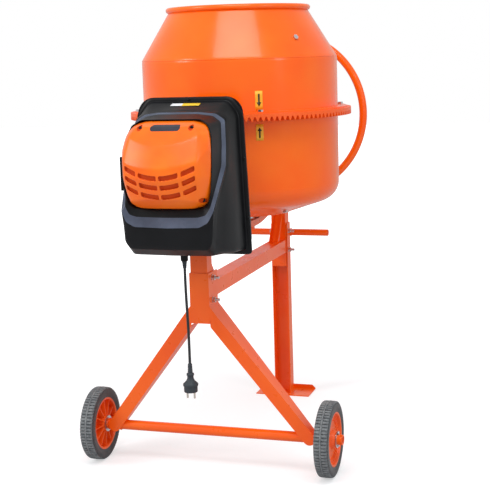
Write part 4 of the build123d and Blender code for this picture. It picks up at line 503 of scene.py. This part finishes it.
def shoulder_loop(right_half, rounding, samples=220):
    """Closed loop (n, 3) in mm from the drum's axis, given as its right half (x, z, y) from top to bottom centre.

    The half is mirrored, sampled evenly along its length, and averaged under a Gaussian of rounding mm.
    """
    right_half = np.asarray(right_half, float)
    ring = np.vstack([right_half, right_half[::-1][1:] * [-1, 1, 1]])
    travel = np.concatenate([[0], np.cumsum(np.linalg.norm(np.diff(ring[:, :2], axis=0), axis=1))])
    fine = 1760
    s = np.linspace(0, travel[-1], fine, endpoint=False)
    dense = np.stack([np.interp(s, travel, ring[:, k]) for k in range(3)], -1)
    width = rounding / (travel[-1] / fine)
    reach = np.arange(-int(3 * width) - 1, int(3 * width) + 2)
    weight = np.exp(-0.5 * (reach / width) ** 2)
    smooth = sum(w * np.roll(dense, r, 0) for w, r in zip(weight / weight.sum(), reach))
    return smooth[::fine // samples][:, [0, 2, 1]]


def between(first, second, share):
    return first + (second - first) * share


flange = shoulder_loop([(0, 995, -417.5), (112, 995, -417.5), (141.5, 958, -417.5), (155, 597, -417.5),
                        (0, 597, -417.5)], 8)
flange_face = shoulder_loop([(0, 994.4, -421.5), (111.6, 994.4, -421.5), (141, 957.8, -421.5), (154.4, 597.6, -421.5),
                             (0, 597.6, -421.5)], 8)
flange_root = shoulder_loop([(0, 985.5, -421.5), (106, 985.5, -421.5), (132, 952, -421.5), (144.6, 606.5, -421.5),
                             (0, 606.5, -421.5)], 8)
wall_foot = shoulder_loop([(0, 983, -427), (105, 983, -427), (129.5, 951, -427), (142.2, 609, -427), (0, 609, -427)], 8)
wall_step = shoulder_loop([(0, 981, -434), (104, 981, -434), (128.5, 950, -434), (141.4, 609.6, -434),
                           (0, 609.6, -434)], 8)
wall_mid = shoulder_loop([(0, 974, -455), (103, 971, -452), (124.5, 946, -455), (131, 840, -474), (138.5, 700, -500),
                          (135, 613, -500), (0, 613, -500)], 8)
wall_low = shoulder_loop([(0, 966.5, -484), (97, 962, -471), (119.5, 948, -477), (126.5, 886, -491), (131, 831, -512),
                          (126, 780, -545), (120, 720, -575), (116, 655, -578), (106, 617, -566), (0, 616, -568)], 5)
skirt = shoulder_loop([(0, 963, -492), (95.5, 959, -479), (118.7, 945, -484), (125.5, 886, -497), (130, 831, -518),
                       (124.5, 783, -552), (118, 724, -594), (112, 655, -601), (101, 638, -600), (0, 637, -602)], 4)
ledge_out = shoulder_loop([(0, 961.5, -499), (52, 961.5, -496), (94, 956.5, -485), (118, 941.5, -490),
                           (124, 886, -504), (129, 831, -525), (125.5, 787, -560), (119, 728, -601),
                           (106, 702, -608), (84, 690, -610),
                           (0, 688, -612)], 3.5)
ledge_in = shoulder_loop([(0, 957, -507), (52, 957, -504), (88, 951.5, -494), (110, 937, -500), (115.5, 886, -514),
                          (119.6, 833, -534), (116.8, 790, -568), (110.6, 741, -597), (99, 721, -600),
                          (79, 715.5, -601), (0, 714.5, -603)], 3.5)
cover_seat = shoulder_loop([(0, 946.5, -556), (76, 946.5, -556), (98, 934, -562), (109, 908, -573), (113.4, 865, -588),
                            (114, 815, -594), (110.6, 772, -594), (102.4, 746, -592), (87, 735.5, -592),
                            (0, 733, -594)], 3)
well = cover_seat * [0.96, 1, 1] + [0, 14, 0]
well[:, 2] = 840 + (well[:, 2] - 840) * 0.97
rows = [flange, between(flange, flange_face, 0.7), flange_face, between(flange_face, flange_root, 0.93), flange_root,
        between(flange_root, wall_foot, 0.8), wall_foot, wall_step, between(wall_step, wall_mid, 0.5), wall_mid,
        between(wall_mid, wall_low, 0.6), wall_low, between(wall_low, skirt, 0.15), between(wall_low, skirt, 0.85),
        skirt, between(skirt, ledge_out, 0.3), between(skirt, ledge_out, 0.93),
        ledge_out, between(ledge_out, ledge_in, 0.08),
        between(ledge_out, ledge_in, 0.92), ledge_in, between(ledge_in, cover_seat, 0.08),
        between(ledge_in, cover_seat, 0.9), cover_seat, between(cover_seat, well, 0.1), well]
body_points = np.stack(rows) + [0, 1000 * axis_y, 0]
around = body_points.shape[1]
ends = [list(range(around)), list(range((len(rows) - 1) * around, len(rows) * around))]
body_shell = mesh_piece("housing_shell", body_points.reshape(-1, 3) / 1000,
                        grid_faces(len(rows), around, round_columns=True).tolist() + ends, black_abs, "frame")
body_shell.data.materials.append(ledge_painted_reflection_abs)
# Rows 18 and 19, the ledge, take the painted-reflection finish; the rest of the shell stays plain black ABS.
row = np.concatenate([np.repeat(np.arange(len(rows) - 1), around), [0, 0]])
body_shell.data.polygons.foreach_set("material_index", ((row >= 18) & (row <= 19)).astype(np.int32))
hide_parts("housing_body")

# A plain two-tone paper tag is stuck on the sloping top of the body; it carries no words.
tag_paper, tree, shader, place = finish_named("laminated_paper_tag")
fibre = noise(tree, place, 900.0, 3.0)
split = put(tree, "ShaderNodeSeparateXYZ", links={"Vector": (place, "Object")})
half = put(tree, "ShaderNodeMath", settings={"operation": "GREATER_THAN"}, values={1: -0.008},
           links={0: (split, "X")})
both = put(tree, "ShaderNodeMix", settings={"data_type": "RGBA"}, links={0: (half, "Value")})
both.inputs[6].default_value, both.inputs[7].default_value = linear("#E9EBEF"), linear("#F2C326")
tree.links.new(both.outputs[2], shader.inputs["Base Color"])
polish(tree, shader, fibre, 0.3, 0.45)
x, y = np.meshgrid(np.linspace(-38, 38, 9), np.linspace(-453, -438, 5))
tag_points = np.stack([x, y + 1000 * axis_y, 981.3 + (y + 434) * 0.333 + 0 * x], -1)
tag = mesh_piece("housing_tag", tag_points.reshape(-1, 3) / 1000, grid_faces(5, 9), tag_paper, "frame")
thick = tag.modifiers.new("film", "SOLIDIFY")
thick.thickness, thick.offset = 0.0006, 0.0

# ---------------------------------------------------------------- orange motor cover
# A bulged cover moulded in orange ABS is set in the front of the body and held by four screws in round
# pockets. Its face falls in four crowned facets, and three curved rows of slots let the motor breathe.
cover_abs, tree, shader, place = finish_named("orange_abs_cover")
flow = noise(tree, place, 14.0, 2.0)
tint(tree, shader, flow, "#FD6604", "#FF740A", 0.3, 0.7)
grain = noise(tree, place, 500.0, 2.0)
bumped(tree, shader, grain, 0.1, 0.0003)
shader.inputs["Roughness"].default_value = 0.3
shader.inputs["IOR"].default_value = 1.53
shader.inputs["Specular IOR Level"].default_value = 0.36
shader.inputs["Subsurface Weight"].default_value = 0.03

cover_high, cover_low = 944.0, 736.0
half_widths = np.array([(736, 78), (737.5, 87), (741, 94.5), (747, 101), (757, 106), (772, 109.5), (795, 112.4),
                        (815, 113.6), (845, 113.6), (875, 112), (900, 108), (915, 104), (927, 98),
                        (936, 90), (941, 83), (944, 74)])
vent_rows = (768.0, 791.0, 814.0)
vent_columns = ((-73.0, 30.0), (-26.5, 46.0), (26.5, 46.0), (73.0, 30.0))
cover_screws = ((-66.0, 929.0), (66.0, 929.0), (-94.0, 757.0), (94.0, 757.0))


def half_width(z):
    """Half the cover's width at a height z in mm, by straight lines between the table's rows."""
    return np.interp(z, half_widths[:, 0], half_widths[:, 1])


def cover_face(x, z):
    """Y of the cover's face in mm from the drum's axis: the least forward of six facets.

    Each facet takes its share of the crown, 0.0022*x^2, and of the roll, which turns the last 17.5 mm of
    each side back. The shares differ, which curves the creases upwards at the sides.
    """
    crown = 0.0022 * x ** 2
    roll = 6.3 * np.log1p(np.exp((np.abs(x) - half_width(z) + 17.5) / 3.0))
    facets = np.stack([-552 - (944 - z) * 3.0 + 0.7 * roll, -588 - (932 - z) + 0.7 * roll,
                       -630 - (890 - z) * 0.5 + 0.6 * crown + 0.6 * roll, -656.5 + (838 - z) * 0.03 + crown + roll,
                       -654 + (808 - z) * 0.364 + crown + roll, -638 + (764 - z) * 1.14 + 0.6 * crown + 0.8 * roll])
    soft = 0.8
    return soft * np.log(np.sum(np.exp((facets - facets.max(0)) / soft), 0)) + facets.max(0)


z = np.concatenate([np.linspace(736, 742, 8, endpoint=False), np.linspace(742, 826, 92, endpoint=False),
                    np.linspace(826, 918, 50, endpoint=False), np.linspace(918, 944, 30)])[:, None]
u = np.linspace(-1, 1, 231)[None, :]
x = u * half_width(z)
z = z + 0 * x
inward = np.minimum(np.minimum(half_width(z) - np.abs(x), cover_high - z), z - cover_low)
edge = 5.0
rolled = np.clip(edge - inward, 0, edge)
sunk = edge - np.sqrt(edge ** 2 - rolled ** 2)
for row_z in vent_rows:
    for middle, width in vent_columns:
        off_x = np.abs(x - middle) - width / 2 + 2.5
        off_z = np.abs(z - row_z - 0.003 * x ** 2) - 5.5 + 2.5
        outside = np.hypot(np.clip(off_x, 0, None), np.clip(off_z, 0, None))
        apart = outside + np.minimum(np.maximum(off_x, off_z), 0) - 2.5
        sunk = np.maximum(sunk, 6.0 * np.clip(0.5 - apart / 0.9, 0, 1))
for middle, height in cover_screws:
    apart = np.hypot(x - middle, z - height) - 6.0
    sunk = np.maximum(sunk, 8.0 * np.clip(0.5 - apart / 0.9, 0, 1))
badge_off = np.hypot(np.clip(np.abs(x) - 31.0, 0, None), z - 929.0) - 7.5
sunk = np.maximum(sunk, 0.9 * np.clip(0.5 - badge_off / 0.9, 0, 1))
y = cover_face(x, z) + sunk
front = np.stack([x, y + 1000 * axis_y, z], -1)
front = np.pad(front, ((2, 2), (2, 2), (0, 0)), mode="edge")
edge_rows, skirt_back = [0, 1, -2, -1], np.array([16.0, 6.0, 6.0, 16.0])
front[edge_rows, :, 1] += skirt_back[:, None]
front[:, edge_rows, 1] = np.maximum(front[:, edge_rows, 1], front[:, [2, 2, -3, -3], 1] + skirt_back)
cover_shell = mesh_piece("motor_cover", front.reshape(-1, 3) / 1000, grid_faces(*front.shape[:2]), cover_abs, "frame")
# Painted shade: the floors of the vent slots and screw pockets are the same orange ABS, coloured darker for the shade
# in the recesses.
slot_painted_shade, tree, shader, place = finish_named("orange_abs_slot_floor_painted_shade")
flow = noise(tree, place, 60.0, 2.0)
tint(tree, shader, flow, "#C83E02", "#D84A06")
shader.inputs["Roughness"].default_value = 0.5
shader.inputs["Specular IOR Level"].default_value = 0.2
cover_shell.data.materials.append(slot_painted_shade)
# Faces sunk more than 1.2 mm, and more than 8 mm in from the cover's edge, take the painted shade.
deep = np.pad(sunk * (inward > 8), 2)
deep = (deep[1:, 1:] + deep[:-1, :-1] + deep[1:, :-1] + deep[:-1, 1:]) / 4
cover_shell.data.polygons.foreach_set("material_index", (deep.ravel() > 1.2).astype(np.int32))
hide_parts("housing_cover")

# The badge is a blank lozenge of dark satin plastic let into the cover's top facet.
badge_black = moulded_black("satin_badge_insert", "#34343C", "#40404A", 0.35)
t = np.linspace(0, 2 * math.pi, 72, endpoint=False)
share = np.array([0.03, 0.2, 0.4, 0.6, 0.8, 0.93, 1.0, 1.0])[:, None]
bx = share * (31.0 * np.sign(np.cos(t)) + 7.2 * np.cos(t))
bz = 929.0 + share * 7.2 * np.sin(t)
by = cover_face(bx, bz) + np.array([0, 0, 0, 0, 0, 0.05, 0.35, 1.6])[:, None]
badge_points = np.stack([bx, by + 1000 * axis_y, bz], -1)
mesh_piece("blank_badge", badge_points.reshape(-1, 3) / 1000,
           grid_faces(8, 72, round_columns=True).tolist() + [list(range(72)), list(range(504, 576))],
           badge_black, "frame")

# Pan-head screws with a cross recess hold the cover and the rim.
def screw_head(x, z, seat, radius, height):
    """Points (9, 64, 3) of a domed head facing -Y: height*cos(1.15*share) over the seat, sunk 1.6 along a cross."""
    share = np.array([0.0, 0.12, 0.25, 0.4, 0.55, 0.7, 0.85, 0.95, 1.0, 1.0])[:, None]
    t = np.linspace(0, 2 * math.pi, 64, endpoint=False)[None, :]
    px, pz = share * radius * np.cos(t), share * radius * np.sin(t)
    rise = height * np.cos(share * 1.15) * np.ones_like(t)
    cross = (np.minimum(np.abs(px), np.abs(pz)) < 0.7) & (np.hypot(px, pz) < 0.6 * radius)
    rise = np.where(cross, rise - 1.6, rise)
    rise[-1] = 0.0
    return np.stack([x + px, 1000 * axis_y + seat - rise, z + pz], -1)[1:]


heads = [(x0, z0, float(cover_face(np.array(x0), np.array(z0))) + 8.2, 4.4, 3.2) for x0, z0 in cover_screws]
heads += [(x0, z0, -421.6, 4.2, 2.6) for x0, z0 in ((0.0, 990.0), (-141.5, 840.0), (141.5, 840.0), (-147.5, 690.0),
                                                   (147.5, 690.0), (0.0, 602.0))]
all_points, all_faces = [], []
for k, (x0, z0, seat, radius, height) in enumerate(heads):
    start = 9 * 64 * k
    all_points.append(screw_head(x0, z0, seat, radius, height).reshape(-1, 3))
    all_faces += (grid_faces(9, 64, round_columns=True) + start).tolist()
    all_faces += [list(range(start, start + 64)), list(range(start + 8 * 64, start + 9 * 64))]
heads_piece = mesh_piece("cover_screw_heads", np.vstack(all_points) / 1000, all_faces, screw_black, "frame")
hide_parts("housing_screws")

# ---------------------------------------------------------------- drum
# Two pressings in 2.5 mm steel, flanged and bolted together round the ring gear, the upper one drawn in
# to a rolled mouth. They are stoved in a glossy orange; two plain arrow labels show the way of turning.
drum_coat = powder_coat("glossy_drum_powder_coat", "#FF6002", "#FF6E08", 14.0, 0.17)
for name in ("drum_lower", "drum_upper"):
    frame["nodes"][name].material_slots[0].material = drum_coat
drum_y = 1000 * axis_y
weld_bead("drum_floor_seam", hoop((0.0, drum_y, 651.2), "Z", 137.0, 260), 1.3, True, drum_coat, "drum", 0.05)
weld_bead("drum_neck_seam", hoop((0.0, drum_y, 1085.0), "Z", 273.4, 520), 1.6, True, drum_coat, "drum", 0.04)

label_film, tree, shader, place = finish_named("amber_vinyl_label")
fibre = noise(tree, place, 400.0, 2.0)
tint(tree, shader, fibre, "#F0A818", "#F8B828")
shader.inputs["Roughness"].default_value = 0.4
arrow_ink, tree, shader, place = finish_named("black_label_ink")
fibre = noise(tree, place, 400.0, 2.0)
polish(tree, shader, fibre, 0.4, 0.55)
shader.inputs["Base Color"].default_value = linear("#141210")
ARROW = np.array([(-2.2, -16), (2.2, -16), (2.2, 4), (6.2, 4), (0, 14), (-6.2, 4), (-2.2, 4)], float)


def on_drum(across, z, radius, turn):
    """Points on a cylinder about the drum's axis: angle = turn + across/radius, from -Y towards +X."""
    angle = turn + across / radius
    return np.stack([radius * np.sin(angle), drum_y - radius * np.cos(angle), z + 0 * angle], -1)


for word, low, high, way in (("upper", 950.0, 1001.0, -1), ("lower", 871.0, 914.0, 1)):
    across, z = np.meshgrid(np.linspace(-10, 10, 13), np.linspace(low, high, 5))
    label = mesh_piece(f"turn_label_{word}", on_drum(across, z, 275.35, math.radians(28)).reshape(-1, 3) / 1000,
                       grid_faces(5, 13), label_film, "drum")
    arrow = ARROW * [1, way * (high - low) / 46]
    inked = on_drum(arrow[:, 0], (low + high) / 2 + arrow[:, 1], 275.75, math.radians(28))
    mark = mesh_piece(f"turn_arrow_{word}", inked / 1000, [list(range(7))], arrow_ink, "drum")
    for piece, thickness in ((label, 0.0003), (mark, 0.0002)):
        film = piece.modifiers.new("film", "SOLIDIFY")
        film.thickness, film.offset = thickness, 0.0

# ---------------------------------------------------------------- ring gear and pinion
# The ring is cast in quarters and painted with the drum, so its skin keeps the sand's fine pitting. The
# pinion's teeth are worn bright where they run in it.
gear_coat, tree, shader, place = finish_named("painted_cast_iron")
sand = noise(tree, place, 330.0, 5.0)
tint(tree, shader, sand, "#F65402", "#FF6406", 0.3, 0.7)
bumped(tree, shader, sand, 0.3, 0.0005)
shader.inputs["Roughness"].default_value = 0.36
frame["nodes"]["ring_gear"].material_slots[0].material = gear_coat

def machined(name, low, high, gloss, grain_mm):
    """Bare metal: two greys over a grain of the given size, roughness rising 0.14 from gloss with it."""
    made, tree, shader, place = finish_named(name)
    grain = noise(tree, place, 1000.0 / grain_mm, 4.0)
    tint(tree, shader, grain, low, high, 0.3, 0.7)
    polish(tree, shader, grain, gloss, gloss + 0.14)
    shader.inputs["Metallic"].default_value = 1.0
    return made


worn_iron = machined("worn_cast_iron_teeth", "#6E6A66", "#8C8884", 0.4, 3.0)
frame["nodes"]["pinion_gear"].material_slots[0].material = worn_iron

# ---------------------------------------------------------------- yoke, blades and handwheel paint
# The yoke is pressed channel bent round the drum's floor, with the bearing housing welded in its middle.
# The handwheel is bent tube. Both wear the frame's paint; the blades' paint is scoured by the mix.
yoke_coat = powder_coat("yoke_powder_coat", "#F85802", "#FF6608", 9.0, 0.26)
wheel_coat = powder_coat("handwheel_powder_coat", "#FD5C02", "#FF6C08", 10.0, 0.2)
blade_coat = powder_coat("scoured_blade_paint", "#D84A0C", "#F85C10", 2.5, 0.42)
for name, finish in (("yoke_bow", yoke_coat), ("bearing_housing", yoke_coat), ("handwheel_ring", wheel_coat),
                     ("handwheel_hub", wheel_coat), ("mixing_blades", blade_coat)):
    frame["nodes"][name].material_slots[0].material = finish
housing_hi = 1000 * np.array(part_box("bearing_housing")[1])
weld_bead("weld_bearing_housing", hoop((0.0, drum_y, 612.0), "Z", housing_hi[0] + 0.6, 200), 2.0, True, yoke_coat,
          "yoke")

# ---------------------------------------------------------------- steel inside: trunnions, shafts, bearings
# Turned mild steel, lightly oiled, carries the yoke and the drum; the bearing rings are ground chrome steel.
turned_steel = machined("oiled_turned_steel", "#8E9096", "#A6A8AC", 0.26, 2.0)
ground_steel = machined("ground_bearing_steel", "#A8AAAE", "#BEC0C4", 0.14, 1.0)
rolled_steel = machined("cold_rolled_steel", "#9A9CA0", "#B2B4B6", 0.32, 4.0)
for name, finish in (("lock_disc", rolled_steel), ("front_trunnion", turned_steel), ("rear_trunnion", turned_steel),
                     ("pinion_shaft", turned_steel), ("drum_spindle", turned_steel), ("motor_bracket", rolled_steel),
                     ("rotor", turned_steel), ("drum_bearings", ground_steel), ("pinion_bearings", ground_steel)):
    frame["nodes"][name].material_slots[0].material = finish

# The spring behind the handwheel's hub is coiled from 2.4 mm wire, shown at its fitted length.
spring_lo, spring_hi = (1000 * np.array(corner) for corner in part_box("lock_spring"))
wire, coils, per_coil = 1.2, 5.5, 48
t = np.linspace(0, 2 * math.pi * coils, int(coils * per_coil))[:, None]
a = np.linspace(0, 2 * math.pi, 12, endpoint=False)[None, :]
reach = spring_hi[0] - wire + wire * np.cos(a)
middle = (spring_lo[2] + spring_hi[2]) / 2
travel = spring_lo[1] + wire + (spring_hi[1] - spring_lo[1] - 2 * wire) * t / t.max() + wire * np.sin(a)
coil_points = np.stack([reach * np.cos(t), travel, middle + reach * np.sin(t)], -1)
rings = len(t)
wire_ends = [list(range(12)), list(range(12 * rings - 12, 12 * rings))]
coil = mesh_piece("coiled_lock_spring", coil_points.reshape(-1, 3) / 1000,
                  grid_faces(rings, 12, round_columns=True).tolist() + wire_ends,
                  machined("black_spring_wire", "#4A4C50", "#5C5E62", 0.3, 2.0), "yoke")
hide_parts("lock_spring")

# ---------------------------------------------------------------- motor, pulleys, belt and fan
# The motor's shell and both pulleys are die-cast alloy, the fan is moulded nylon and the belt is ribbed
# rubber. All of it sits inside the housing, between the pan and the cover.
cast_alloy = machined("die_cast_alloy", "#9EA0A2", "#B6B8BA", 0.38, 1.5)
shell_alloy = machined("motor_shell_alloy", "#84868A", "#9C9EA2", 0.42, 1.5)
for name, finish in (("driven_pulley", cast_alloy), ("motor_pulley", cast_alloy), ("motor_casing", shell_alloy)):
    frame["nodes"][name].material_slots[0].material = finish
fan_nylon = moulded_black("glass_filled_nylon_fan", "#1A1B1D", "#26272A", 0.5)
belt_rubber = moulded_black("ribbed_belt_rubber", "#101112", "#1C1D1F", 0.6)
frame["nodes"]["motor_fan"].material_slots[0].material = fan_nylon
frame["nodes"]["drive_belt"].material_slots[0].material = belt_rubber

# ---------------------------------------------------------------- switch buttons
# Two domed push buttons moulded in glossy plastic: green starts the motor and red stops it.
def moulded_cap(name, low, high):
    """Glossy button plastic: two near tones over 12 mm, with an even polish."""
    made, tree, shader, place = finish_named(name)
    flow = noise(tree, place, 80.0, 2.0)
    tint(tree, shader, flow, low, high)
    shader.inputs["Roughness"].default_value = 0.22
    shader.inputs["IOR"].default_value = 1.53
    return made


frame["nodes"]["start_button"].material_slots[0].material = moulded_cap("green_button_plastic", "#0E7A2C", "#149038")
frame["nodes"]["stop_button"].material_slots[0].material = moulded_cap("red_button_plastic", "#B01010", "#C81818")
